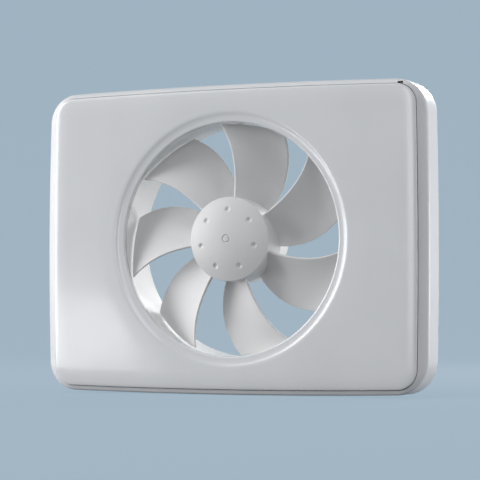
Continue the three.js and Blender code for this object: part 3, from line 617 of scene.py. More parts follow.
class FinishShelf:
    """Every finish of the fan, each built once."""

    recipes: dict[str, SurfaceFinish] = {
        "plate": MouldedPlastic(
            "glossy white moulding", Slot.WHITE, WHITE, SOFT_WHITE, 0.2,
            rubbed_share=0.15, gloss_coat=0.35,
        ),
        "housing": MouldedPlastic(
            "white housing moulding", Slot.WHITE, WHITE, SOFT_WHITE, 0.32, rubbed_share=0.12,
        ),
        # whiter than the housing; part of this whiteness is painted light, standing in for the
        # bright light on the duct's inner wall
        "duct": MouldedPlastic(
            "satin duct moulding", Slot.INNER, (0.86, 0.86, 0.855), (0.835, 0.835, 0.83),
            0.34, rubbed_share=0.1,
        ),
        "blades": MouldedPlastic(
            "glossy impeller moulding", Slot.BLADE, (0.78, 0.775, 0.765),
            (0.755, 0.75, 0.735), 0.2, rubbed_share=0.4, gloss_coat=0.4,
        ),
        "hub": MouldedPlastic(
            "satin hub cap", Slot.BLADE, (0.67, 0.67, 0.675), (0.64, 0.64, 0.645), 0.42,
            peel_mm=1.1, peel_depth_mm=0.03,
        ),
        "inner": MouldedPlastic(
            "satin inner moulding", Slot.INNER, (0.68, 0.685, 0.69), (0.63, 0.635, 0.645),
            0.45, peel_depth_mm=0.012,
        ),
        "dark": MouldedPlastic(
            "dark potting case", Slot.DARK, (0.02, 0.021, 0.024), (0.035, 0.036, 0.04),
            0.42, peel_depth_mm=0.02, peel_mm=0.8,
        ),
        "sheath": MouldedPlastic(
            "cable sheath", Slot.SHEATH, (0.022, 0.022, 0.025), (0.04, 0.04, 0.043),
            0.38, peel_mm=0.7, peel_depth_mm=0.02,
        ),
        "rubber": OpenCell(
            "grommet rubber", Slot.RUBBER, (0.018, 0.018, 0.019), (0.008, 0.008, 0.008),
            0.35, 0.02, 0.72,
        ),
        "foam": OpenCell(
            "sealing foam", Slot.FOAM, (0.055, 0.056, 0.06), (0.012, 0.012, 0.013),
            0.7, 0.25, 0.9,
        ),
        "steel": PlatedMetal(
            "zinc-plated steel", Slot.STEEL, (0.62, 0.63, 0.65), (0.5, 0.51, 0.53), 0.3,
        ),
        "brass": PlatedMetal(
            "turned brass", Slot.BRASS, (0.75, 0.58, 0.28), (0.62, 0.46, 0.2), 0.28,
            lengthways=(0.1, 1.0, 0.1),
        ),
        "core": Banded(
            "stacked core sheet", Slot.CORE, (0.33, 0.34, 0.36), (0.08, 0.08, 0.09),
            0.5, 1.0, 0.38, by_radius=False,
        ),
        "copper": Banded(
            "enamelled wire turns", Slot.COPPER, (0.66, 0.27, 0.1), (0.2, 0.07, 0.03),
            0.42, 1.0, 0.25, by_radius=True,
        ),
        "ferrite": MouldedPlastic(
            "bonded ferrite", Slot.FERRITE, (0.035, 0.036, 0.04), (0.06, 0.06, 0.064),
            0.55, cloud_mm=1.2, peel_mm=0.4, peel_depth_mm=0.03,
        ),
        "board": SolderMask("solder mask", Slot.BOARD),
    }

    def __init__(self) -> None:
        """Starts with no material built."""
        self.made: dict[str, bpy.types.Material] = {}

    def material(self, name: str) -> bpy.types.Material:
        """The Blender material of a finish.

        Args:
            name: the finish's name.

        Returns:
            Its material.
        """
        if name not in self.made:
            self.made[name] = self.recipes[name].material()
        return self.made[name]

    def slot(self, name: str) -> str:
        """The record's slot of a finish."""
        return self.recipes[name].slot.value


# ------------------------------------------------------------------ mesh tools


def add_object(name: str, data: bpy.types.ID) -> bpy.types.Object:
    """Puts a mesh, a lamp or a camera into the scene as an object at the origin.

    Args:
        name: what the object is called.
        data: its mesh, lamp or camera data.

    Returns:
        The new object.
    """
    piece = bpy.data.objects.new(name, data)
    bpy.context.scene.collection.objects.link(piece)
    return piece


def settle(piece: bpy.types.Object) -> None:
    """Turns an object's modifiers into its plain mesh.

    Args:
        piece: the object. It keeps its name and loses its modifiers.
    """
    bpy.context.view_layer.update()
    evaluated = piece.evaluated_get(bpy.context.evaluated_depsgraph_get())
    mesh = bpy.data.meshes.new_from_object(evaluated)
    piece.modifiers.clear()
    piece.data = mesh


def soften(piece: bpy.types.Object, angle: float = 32.0) -> None:
    """Shades an object smooth, with sharp edges past an angle in degrees."""
    piece.data.shade_smooth()
    piece.data.set_sharp_from_angle(angle=math.radians(angle))


class Shape:
    """Closed shells in millimetres that together make one piece."""

    def __init__(self) -> None:
        """Starts empty."""
        self.mesh = bmesh.new()

    def skin(self, rings: Sequence[Ring], closed: bool = True) -> None:
        """Adds a skin through rings with the same number of points.

        Args:
            rings: the rings in order along the section.
            closed: whether the last ring joins the first. Otherwise both ends are filled.
        """
        shell = bmesh.new()
        rows = [[shell.verts.new(point) for point in ring] for ring in rings]
        count = len(rows[0])
        for first, second in zip(rows, rows[1:] + rows[:1] if closed else rows[1:]):
            for i in range(count):
                j = (i + 1) % count
                corners = [first[i], first[j], second[j], second[i]]
                if len({tuple(corner.co) for corner in corners}) > 2:
                    shell.faces.new(corners)
        if not closed:
            shell.faces.new(rows[0])
            shell.faces.new(rows[-1])
        self.take(shell)

    def take(self, shell: bmesh.types.BMesh) -> None:
        """Adds a shell with its doubles merged and its faces pointing out.

        Args:
            shell: the shell, which is used up.
        """
        bmesh.ops.remove_doubles(shell, verts=shell.verts, dist=1e-5)
        bmesh.ops.dissolve_degenerate(shell, edges=shell.edges, dist=1e-6)
        bmesh.ops.recalc_face_normals(shell, faces=shell.faces)
        keep = bpy.data.meshes.new("shell")
        shell.to_mesh(keep)
        shell.free()
        self.mesh.from_mesh(keep)
        bpy.data.meshes.remove(keep)

    def lathe(self, profile: Sequence[Flat], steps: int, x: float = 0, z: float = 0) -> None:
        """Adds a solid of revolution about an axis along Y.

        Args:
            profile: (radius, y) corners, closed on themselves.
            steps: steps round the circle.
            x: the axis's place.
            z: the axis's place.
        """
        turns = [2 * math.pi * i / steps for i in range(steps)]
        self.skin([
            [(x + radius * math.cos(turn), y, z + radius * math.sin(turn)) for turn in turns]
            for radius, y in profile
        ])

    def box(self, low: Point, high: Point, edge: float = 0.25, turn: float = 0.0) -> None:
        """Adds a box with rounded edges.

        Args:
            low: its lowest corner.
            high: its highest corner.
            edge: the radius on its edges.
            turn: degrees round Y, from X towards Z, applied about the origin.
        """
        shell = bmesh.new()
        bmesh.ops.create_cube(shell, size=1.0)
        for vert in shell.verts:
            vert.co = Vector(
                ((a + b) / 2 + c * (b - a)) for a, b, c in zip(low, high, vert.co)
            )
        if edge > 0:
            bmesh.ops.bevel(
                shell, geom=list(shell.edges), offset=edge, segments=2, profile=0.5,
                affect="EDGES",
            )
        angle = math.radians(turn)
        for vert in shell.verts:
            x, z = vert.co.x, vert.co.z
            vert.co.x = x * math.cos(angle) - z * math.sin(angle)
            vert.co.z = x * math.sin(angle) + z * math.cos(angle)
        self.take(shell)

    def piece(self, name: str, material: Optional[bpy.types.Material] = None) -> bpy.types.Object:
        """Makes the object, in metres.

        Args:
            name: the piece's name.
            material: what it is made of.

        Returns:
            The new object.
        """
        mesh = bpy.data.meshes.new(name)
        for vert in self.mesh.verts:
            vert.co *= MM
        self.mesh.to_mesh(mesh)
        self.mesh.free()
        if material:
            mesh.materials.append(material)
        made = add_object(name, mesh)
        soften(made)
        return made


def cut_away(piece: bpy.types.Object, cutters: Shape) -> None:
    """Cuts shapes out of a piece.

    Args:
        piece: the piece.
        cutters: what to cut out, in millimetres.
    """
    tool = cutters.piece("cutter")
    modifier = piece.modifiers.new("cut", "BOOLEAN")
    modifier.operation = "DIFFERENCE"
    modifier.solver = "EXACT"
    modifier.object = tool
    settle(piece)
    bpy.data.objects.remove(tool)
    soften(piece)


def arc(start: Flat, centre: Flat, end: Flat, steps: int) -> list[Flat]:
    """A quarter ellipse between two points, bulging away from their inner corner.

    Args:
        start: the first point.
        centre: the inner corner.
        end: the last point.
        steps: how many steps to take.

    Returns:
        The points, both ends included.
    """
    (x0, y0), (cx, cy), (x1, y1) = start, centre, end
    points = []
    for i in range(steps + 1):
        turn = math.pi / 2 * i / steps
        a, b = math.cos(turn), math.sin(turn)
        points.append((cx + (x0 - cx) * a + (x1 - cx) * b, cy + (y0 - cy) * a + (y1 - cy) * b))
    return points


def slot_outline(width: float, length: float, x: float, z: float, steps: int) -> list[Flat]:
    """The outline of a slot with round ends, long in X.

    Args:
        width: across the slot.
        length: from end to end.
        x: its middle's place.
        z: its middle's place.
        steps: steps round each end.

    Returns:
        The outline as (x, z) points.
    """
    radius, half = width / 2, (length - width) / 2
    points = []
    for side, start in ((1, -90), (-1, 90)):
        for i in range(steps + 1):
            turn = math.radians(start + 180 * i / steps)
            points.append((x + side * half + radius * math.cos(turn), z + radius * math.sin(turn)))
    return points


def eased(x: float, y: float, out: float, back: float) -> list[Flat]:
    """A corner broken in three points, from the side along Y to the side across it."""
    share = 0.3
    return [(x, y + back), (x + share * out, y + share * back), (x + out, y)]


def sleeve(bore: float, radius: float, front: float, rear: float) -> list[Flat]:
    """The profile of a plain round sleeve, or of a pin where the bore is nothing."""
    return [(bore, front), (radius, front), (radius, rear), (bore, rear)]


def lifted(points: Iterable[Flat], y: float) -> Ring:
    """Flat points at a height."""
    return [(x, y, z) for x, z in points]


@dataclass(frozen=True)
class BowedOutline:
    """A rectangle with bowed sides and round corners, as matching rings of points."""

    half_width: float
    half_height: float
    corner: float
    side_bow: float = 0.8
    top_bow: float = 1.3
    side_steps: int = 60
    top_steps: int = 88
    corner_steps: int = 18

    def points(self, inset: float = 0.0, inset_z: Optional[float] = None) -> list[Flat]:
        """The outline moved inwards.

        Args:
            inset: how far, in millimetres.
            inset_z: how far at the top and bottom, where that differs.

        Returns:
            (x, z) points, always the same number, anticlockwise from the front.
        """
        rise = inset if inset_z is None else inset_z
        x = self.half_width - inset - self.side_bow
        z = self.half_height - rise - self.top_bow
        corner = max(self.corner - inset * (1.0 if inset_z is None else 1.3), 0.4)
        made = []
        for quarter in range(4):
            upright = quarter % 2 == 0
            steps = self.side_steps if upright else self.top_steps
            reach, run = (x, z - corner) if upright else (z, x - corner)
            bow = self.side_bow if upright else self.top_bow
            turn = math.pi / 2 * quarter
            for i in range(steps):
                share = i / steps
                across = reach + 4 * share * (1 - share) * bow
                along = run * (2 * share - 1)
                made.append(self.turned(across, along, turn))
            for i in range(self.corner_steps):
                angle = math.pi / 2 * i / self.corner_steps
                across = reach - corner + corner * math.cos(angle)
                along = run + corner * math.sin(angle)
                made.append(self.turned(across, along, turn))
        return made

    @staticmethod
    def turned(across: float, along: float, turn: float) -> Flat:
        """A point of one side turned into its place.

        Args:
            across: its place across the side.
            along: its place along the side.
            turn: the side's turn in radians.

        Returns:
            The point.
        """
        return (
            across * math.cos(turn) - along * math.sin(turn),
            across * math.sin(turn) + along * math.cos(turn),
        )

    def ring(self, inset: float, y: float, inset_z: Optional[float] = None) -> Ring:
        """The outline at a height."""
        return lifted(self.points(inset, inset_z), y)

    def circle(self, radius: float, y: float) -> Ring:
        """A circle whose points lie on the outline's own rays.

        Args:
            radius: the circle's radius.
            y: its height.

        Returns:
            The ring.
        """
        made = []
        for x, z in self.points():
            length = math.hypot(x, z)
            made.append((radius * x / length, y, radius * z / length))
        return made


def between(first: Ring, second: Ring, steps: int) -> list[Ring]:
    """Rings evenly between two rings, both ends included.

    Args:
        first: the ring to start from.
        second: the ring to end at.
        steps: how many steps to take.

    Returns:
        The rings.
    """
    return [
        [tuple(a + (b - a) * i / steps for a, b in zip(p, q)) for p, q in zip(first, second)]
        for i in range(steps + 1)
    ]


def polar(radius: float, degrees: float, y: float = 0.0) -> Point:
    """A point at a radius and an angle round the fan axis."""
    turn = math.radians(degrees)
    return radius * math.cos(turn), y, radius * math.sin(turn)


# ------------------------------------------------------------------ shared sizes


@dataclass(frozen=True)
class Datum:
    """Sizes that several sub-assemblies share, in millimetres."""

    face: float = -22.0
    spigot_end: float = 11.6
    back_front: float = -3.8
    back_rear: float = -1.6
    duct_radius: float = 69.2
    duct_outer: float = 71.7
    duct_hole: float = 74.0
    flange_outer: float = 79.7
    flange_front: float = -6.5
    flange_rear: float = -4.1
    hub_radius: float = 24.85
    hub_front: float = -20.4
    hub_rear: float = -1.5
    tip_radius: float = 67.8
    plate: BowedOutline = BowedOutline(116.0, 87.7, 11.5)
    ledge: BowedOutline = BowedOutline(116.28, 87.98, 11.8)
    outer: BowedOutline = BowedOutline(121.95, 90.83, 19.0)
    lead_angle: float = 333.0
    lead_radius: float = 73.0
    lead_half: float = 1.4
    lead_slot: float = 74.4
    lead_arm: int = 2
    arm_starts: tuple[float, ...] = (84.0, 211.0, 324.0)
    arm_sweep: float = 9.0
    tongues: tuple[Flat, ...] = ((-107.0, -74.7), (107.0, -74.7), (-107.0, 74.7), (107.0, 74.7))
    entry: Flat = (93.0, -65.7)
    cover_screws: tuple[Flat, ...] = ((103.6, 52.6), (109.5, -47.6))
    clamp_screws: tuple[Flat, ...] = ((92.2, -54.7), (106.2, -54.7))

    def arm_angle(self, start: float, radius: float) -> float:
        """The angle of an arm's middle line at a radius."""
        share = (radius - self.hub_radius) / (self.duct_radius - self.hub_radius)
        return start + self.arm_sweep * share


DATUM = Datum()


@dataclass
class SubAssembly:
    """What every sub-assembly shares: the finishes and how a piece is handed over."""

    shelf: FinishShelf
    kept: ClassVar[dict[str, tuple[str, ...]]] = {}

    def hand_over(
        self, piece: bpy.types.Object, finish: str, body: Body, replaced: Iterable[str]
    ) -> None:
        """Attaches a finished piece to its body and hides the solids that it stands for.

        Args:
            piece: the finished object.
            finish: the name of its finish.
            body: what it rides on.
            replaced: the solids that it stands for.
        """
        self.shelf.slot(finish)
        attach(piece, body.value)
        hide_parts(*replaced)
        log.info("%s: %d faces, rides on %s", piece.name, len(piece.data.polygons), body.value)

    def deliver(self, shape: Shape, name: str, finish: str, body: Body, node: str) -> None:
        """Makes a piece from one shape and hands it over for one solid."""
        self.hand_over(shape.piece(name, self.shelf.material(finish)), finish, body, [node])

    def build(self) -> None:
        """Builds the pieces. A sub-assembly whose solids all stay has none."""

    def dress(self) -> None:
        """Gives the solids that stay their better materials."""
        for finish, nodes in self.kept.items():
            for node in nodes:
                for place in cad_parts[node].material_slots:
                    place.material = self.shelf.material(finish)
                log.info("%s: kept, finished in %s", node, finish)


# ------------------------------------------------------------------ front plate


@dataclass
class FrontPlate(SubAssembly):
    """The bowed plate with its rolled round opening and four tongues."""

    skirt_rear: float = -17.5
    skirt_round: float = 0.3
    sheet_rear: float = -19.8
    root_round: float = 0.6
    wall: float = 2.0
    crown_width: float = 10.5
    crown_drop: float = 1.3
    flare_radius: float = 88.0
    flare_drop: float = 0.22
    lip_radius: float = 68.4
    lip_outer: float = 77.6
    lip_depth: float = 2.9
    lip_bead: Flat = (1.5, 1.25)
    bead_steps: int = 12
    face_steps: int = 14
    crown_steps: int = 22
    back_steps: int = 4
    lip_band: tuple[Flat, ...] = (
        (70.6, 1.56), (71.4, 1.42), (72.1, 1.27), (72.7, 1.1), (73.2, 0.92), (73.65, 0.73),
        (74.1, 0.56), (74.6, 0.42), (75.2, 0.33), (75.9, 0.27), (76.7, 0.235),
    )
    lip_rear: float = -18.8
    lip_foot: tuple[Flat, ...] = ((0.3, 0.0), (0.04, -0.16))
    lip_thick: float = 2.2
    tongue_rear: float = -8.0
    tongue_width: float = 8.0
    tongue_thick: float = 2.0
    tongue_edge: float = 0.35

    def crown(self, inset: float) -> float:
        """The face's height at a distance in from the plate's edge."""
        share = min(max(1 - inset / self.crown_width, 0.0), 1.0)
        return DATUM.face + self.crown_drop * (1 - math.sqrt(1 - share * share))

    def flared(self, ring: Ring) -> Ring:
        """A ring of the face, lowered a little where it nears the opening.

        Args:
            ring: the ring.

        Returns:
            The ring with its new heights.
        """
        made = []
        reach = self.flare_radius - self.lip_outer
        for x, y, z in ring:
            share = min(max((self.flare_radius - math.hypot(x, z)) / reach, 0.0), 1.0)
            made.append((x, y + self.flare_drop * share * share, z))
        return made

    def lip(self) -> list[Flat]:
        """The lip's section from the opening's edge out over the shelf, as (radius, drop).

        Returns:
            The points.
        """
        edge, deep = self.lip_radius, self.lip_depth
        out, up = self.lip_bead
        bead = arc((edge, deep), (edge + out, deep), (edge + out, deep - up), self.bead_steps)
        return [*bead, *self.lip_band, (self.lip_outer, self.flare_drop)]

    def rings(self) -> list[Ring]:
        """The plate's section as rings, from the opening's edge out and back again.

        Returns:
            The rings in order.
        """
        plate, face, wall = DATUM.plate, DATUM.face, self.wall
        rear, sheet, lip_rear = self.skirt_rear, self.sheet_rear, self.lip_rear
        made = [plate.circle(self.lip_radius + out, lip_rear + y) for out, y in self.lip_foot]
        made += [plate.circle(radius, face + drop) for radius, drop in self.lip()]
        inner = plate.ring(self.crown_width, face)
        front = between(plate.circle(self.lip_outer, face), inner, self.face_steps)[1:]
        for i in range(1, self.crown_steps + 1):
            inset = self.crown_width * (1 - math.sin(math.pi / 2 * i / self.crown_steps))
            front.append(plate.ring(inset, self.crown(inset)))
        made += [self.flared(ring) for ring in front]
        edge, root = self.skirt_round, self.root_round
        skirt = [
            *eased(0.0, rear, edge, -edge), *eased(wall, rear, -edge, -edge)[::-1],
            *eased(wall, sheet, root, root),
        ]
        made += [plate.ring(inset, y) for inset, y in skirt]
        made += between(made[-1], plate.circle(self.lip_outer + wall, sheet), self.back_steps)[1:]
        made.append(plate.circle(self.lip_radius + self.lip_thick, lip_rear))
        return made

    def build(self) -> None:
        """Builds and dresses the plate."""
        shape = Shape()
        shape.skin(self.rings())
        half, thick, root = self.tongue_width / 2, self.tongue_thick / 2, self.sheet_rear - 1
        for x, z in DATUM.tongues:
            low, high = (x - half, root, z - thick), (x + half, self.tongue_rear, z + thick)
            shape.box(low, high, self.tongue_edge)
            shape.box((x - thick, root, z - 3 * thick), (x + thick, root + 3, z + 3 * thick))
        self.deliver(shape, "bowed_front_plate", "plate", Body.COVER, "front_plate")


# ------------------------------------------------------------------ housing


@dataclass
class Housing(SubAssembly):
    """The shallow tray behind the plate: rounded shoulder, back wall, sockets and ribs."""

    shoulder: float = -19.6
    shoulder_side: float = 2.2
    shoulder_top: float = 1.7
    shoulder_depth: float = 2.2
    shoulder_lean: float = 20.0
    shoulder_steps: int = 14
    floor_steps: int = 5
    side: tuple[Flat, ...] = (
        (0.0, -9.0), (0.0, -4.0), (0.0, -1.1), (0.0, -0.35), (0.1, -0.1), (0.35, 0.0),
    )
    rim_wall: float = 2.4
    rim_round: float = 0.3
    root_chamfer: float = 0.4
    ledge_edge: float = 0.35
    fixing_x: float = 81.0
    fixing_z: float = 77.7
    slot_width: float = 5.0
    slot_length: float = 11.0
    slot_steps: int = 14
    cut: Flat = (-6.0, 1.0)
    entry_radius: float = 5.8
    entry_steps: int = 36
    notch_x: float = 105.7
    notch_half: Flat = (1.7, 1.1)
    notch_deep: float = 5.0
    lead_from: float = 71.0
    socket_front: float = -12.0
    socket_walls: tuple[tuple[float, ...], ...] = (
        (0, 2.3, 6.25, 0.95), (0, -2.3, 6.25, 0.95), (5.3, 0, 0.95, 3.25), (-5.3, 0, 0.95, 3.25),
    )
    rib_count: int = 5
    rib_pitch: float = 22.0
    rib_thick: float = 1.5
    rib_height: float = 6.0
    rib_gap: float = 2.0
    lug_front: float = -8.0
    lug_bore: float = 1.6
    cover_lug: float = 3.6
    clamp_lug: float = 3.0
    stands: tuple[Flat, ...] = ((99.8, -38.0), (107.4, -38.0), (99.8, 43.0), (107.4, 43.0))
    stand_radius: float = 2.0
    stand_front: float = -5.2

    def rings(self) -> list[Ring]:
        """The tray's section as rings, from the duct's hole out and back again.

        Returns:
            The rings in order.
        """
        outer, ledge, steps = DATUM.outer, DATUM.ledge, self.floor_steps
        front, rear, hole = DATUM.back_front, DATUM.back_rear, DATUM.duct_hole
        foot, edge, wall = self.shoulder, self.ledge_edge, self.rim_wall
        made = between(outer.circle(hole, front), ledge.ring(0.5, front), steps)
        made.append(ledge.ring(0.15, front - 0.15))
        made += [ledge.ring(0.0, y) for y in (front - 0.5, foot + edge)]
        flat = ledge.points()
        lean = self.shoulder_rings(flat)
        made.append(self.towards(flat, lean[0], 0.12 * edge, foot + 0.3 * edge))
        made.append(self.towards(flat, lean[0], 0.3 * edge, foot + 0.03))
        made += lean
        rim, root = self.rim_round, self.root_chamfer
        inside = ((wall - rim, 0.0), (wall, -rim), (wall, rear + root), (wall + root, rear))
        made += [outer.ring(inset, y) for inset, y in (*self.side, *inside)]
        return made + between(made[-1], outer.circle(hole, rear), steps)[1:]

    def shoulder_rings(self, ledge: list[Flat]) -> list[Ring]:
        """The shoulder: a lean away from the ledge, then a round into the side wall.

        Args:
            ledge: the ledge's flat points.

        Returns:
            The rings from the lean's foot to the side wall.
        """
        lean = math.radians(self.shoulder_lean)
        made: list[Ring] = []
        foot: list[float] = []
        for i in range(self.shoulder_steps + 1):
            turn = lean + (math.pi / 2 - lean) * i / self.shoulder_steps
            reach, sunk = 1 - math.sin(turn), math.cos(lean) - math.cos(turn)
            ring = DATUM.outer.ring(
                self.shoulder_side * reach, self.shoulder + self.shoulder_depth * sunk,
                self.shoulder_top * reach,
            )
            if not foot:
                slope = math.tan(lean)
                foot = [slope * math.dist((x, z), at) for (x, _, z), at in zip(ring, ledge)]
            made.append([(x, y + low, z) for (x, y, z), low in zip(ring, foot)])
        return made

    @staticmethod
    def towards(points: list[Flat], ring: Ring, distance: float, y: float) -> Ring:
        """Points moved a distance towards a ring.

        Args:
            points: the flat points.
            ring: what they move towards.
            distance: how far.
            y: the height that they come to.

        Returns:
            The moved ring.
        """
        made = []
        for (x, z), (rx, _, rz) in zip(points, ring):
            length = max(math.hypot(rx - x, rz - z), 1e-6)
            share = min(distance / length, 0.9)
            made.append((x + (rx - x) * share, y, z + (rz - z) * share))
        return made

    def cutters(self) -> Shape:
        """The fixing slots, the cable's hole, the release notch and the lead's notch.

        Returns:
            Every cutter.
        """
        tools = Shape()
        size = self.slot_width, self.slot_length
        cuts = [
            slot_outline(*size, x, z, self.slot_steps)
            for x in (-self.fixing_x, self.fixing_x) for z in (-self.fixing_z, self.fixing_z)
        ]
        step, (hole_x, hole_z) = 360 / self.entry_steps, DATUM.entry
        hole = [polar(self.entry_radius, step * i) for i in range(self.entry_steps)]
        cuts.append([(hole_x + x, hole_z + z) for x, _, z in hole])
        for flat in cuts:
            tools.skin([lifted(flat, y) for y in self.cut], closed=False)
        top = DATUM.ledge.half_height - DATUM.ledge.top_bow
        across, up = self.notch_half
        low = (self.notch_x - across, self.shoulder - 1, top - up)
        tools.box(low, (self.notch_x + across, self.shoulder + self.notch_deep, top + up), 0.3)
        front, rear = self.cut
        low = (self.lead_from, front, -DATUM.lead_half)
        tools.box(low, (DATUM.lead_slot, rear, DATUM.lead_half), 0.2, DATUM.lead_angle)
        return tools

    def inside(self) -> Shape:
        """The sockets, bosses and stand-offs on the back wall.

        Returns:
            The shapes, which sink into the back wall.
        """
        shape = Shape()
        base = DATUM.back_front + 0.5
        for x, z in DATUM.tongues:
            for sx, sz, wx, wz in self.socket_walls:
                low = (x + sx - wx, self.socket_front, z + sz - wz)
                shape.box(low, (x + sx + wx, base, z + sz + wz), 0.2)
        posts = (
            (DATUM.cover_screws, self.cover_lug, self.lug_bore, self.lug_front, 32),
            (DATUM.clamp_screws, self.clamp_lug, self.lug_bore, self.lug_front, 32),
            (self.stands, self.stand_radius, 0.0, self.stand_front, 24),
        )
        for places, radius, bore, front, steps in posts:
            for x, z in places:
                shape.lathe(self.post(radius, bore, front, base), steps, x, z)
        return shape

    @staticmethod
    def post(radius: float, bore: float, front: float, base: float) -> list[Flat]:
        """The profile of a round post with an edge and a bore.

        Args:
            radius: the post's radius.
            bore: its bore's radius, or nothing.
            front: its front end.
            base: its foot.

        Returns:
            The profile.
        """
        return [
            (bore, front), (radius - 0.3, front), (radius - 0.08, front + 0.08),
            (radius, front + 0.3), (radius, base), (bore, base),
        ]

    def rib_tree(self) -> GeometrySheet:
        """The ribs on the left of the tray: each runs from the flange to the ledge.

        Returns:
            The finished tree.
        """
        sheet = GeometrySheet("tray_ribs")
        count, pitch, flange, gap, ledge, thick, height, base = sheet.sizes({
            "Count": self.rib_count,
            "Pitch": self.rib_pitch * MM,
            "Flange Radius": DATUM.flange_outer * MM,
            "Flange Gap": self.rib_gap * MM,
            "Ledge": DATUM.ledge.half_width * MM,
            "Thickness": self.rib_thick * MM,
            "Height": self.rib_height * MM,
            "Back Wall": DATUM.back_front * MM,
        })
        z = pitch * (sheet.index() - (count - 1) / 2)
        inner = sheet.math("SQRT", flange * flange - z * z) + gap
        points = sheet.field("GeometryNodePoints", {"Count": count})
        placed = sheet.moved(points, (ledge + inner) * -0.5, base - height * 0.5, z)
        bar = sheet.field("GeometryNodeMeshCube", {"Size": (1.0, 1.0, 1.0)})
        ribs = sheet.copies(placed, bar, Scale=sheet.join_xyz(ledge - inner, height, thick))
        sheet.end(sheet.joined(sheet.geometry(), ribs), self.shelf.material("housing"))
        return sheet

    def build(self) -> None:
        """Builds and dresses the tray."""
        shape = Shape()
        shape.skin(self.rings())
        material = self.shelf.material("housing")
        piece = shape.piece("shouldered_housing", material)
        cut_away(piece, self.cutters())
        merge(piece, self.inside().piece("inside", material))
        self.rib_tree().run(piece)
        soften(piece)
        self.hand_over(piece, "housing", Body.FAN, ["housing"])


def merge(piece: bpy.types.Object, other: bpy.types.Object) -> None:
    """Adds another object's mesh to a piece and removes the other.

    Args:
        piece: the piece that grows.
        other: the object that goes into it.
    """
    both = bmesh.new()
    both.from_mesh(piece.data)
    both.from_mesh(other.data)
    both.to_mesh(piece.data)
    both.free()
    bpy.data.objects.remove(other)
    soften(piece)


# ------------------------------------------------------------------ duct ring


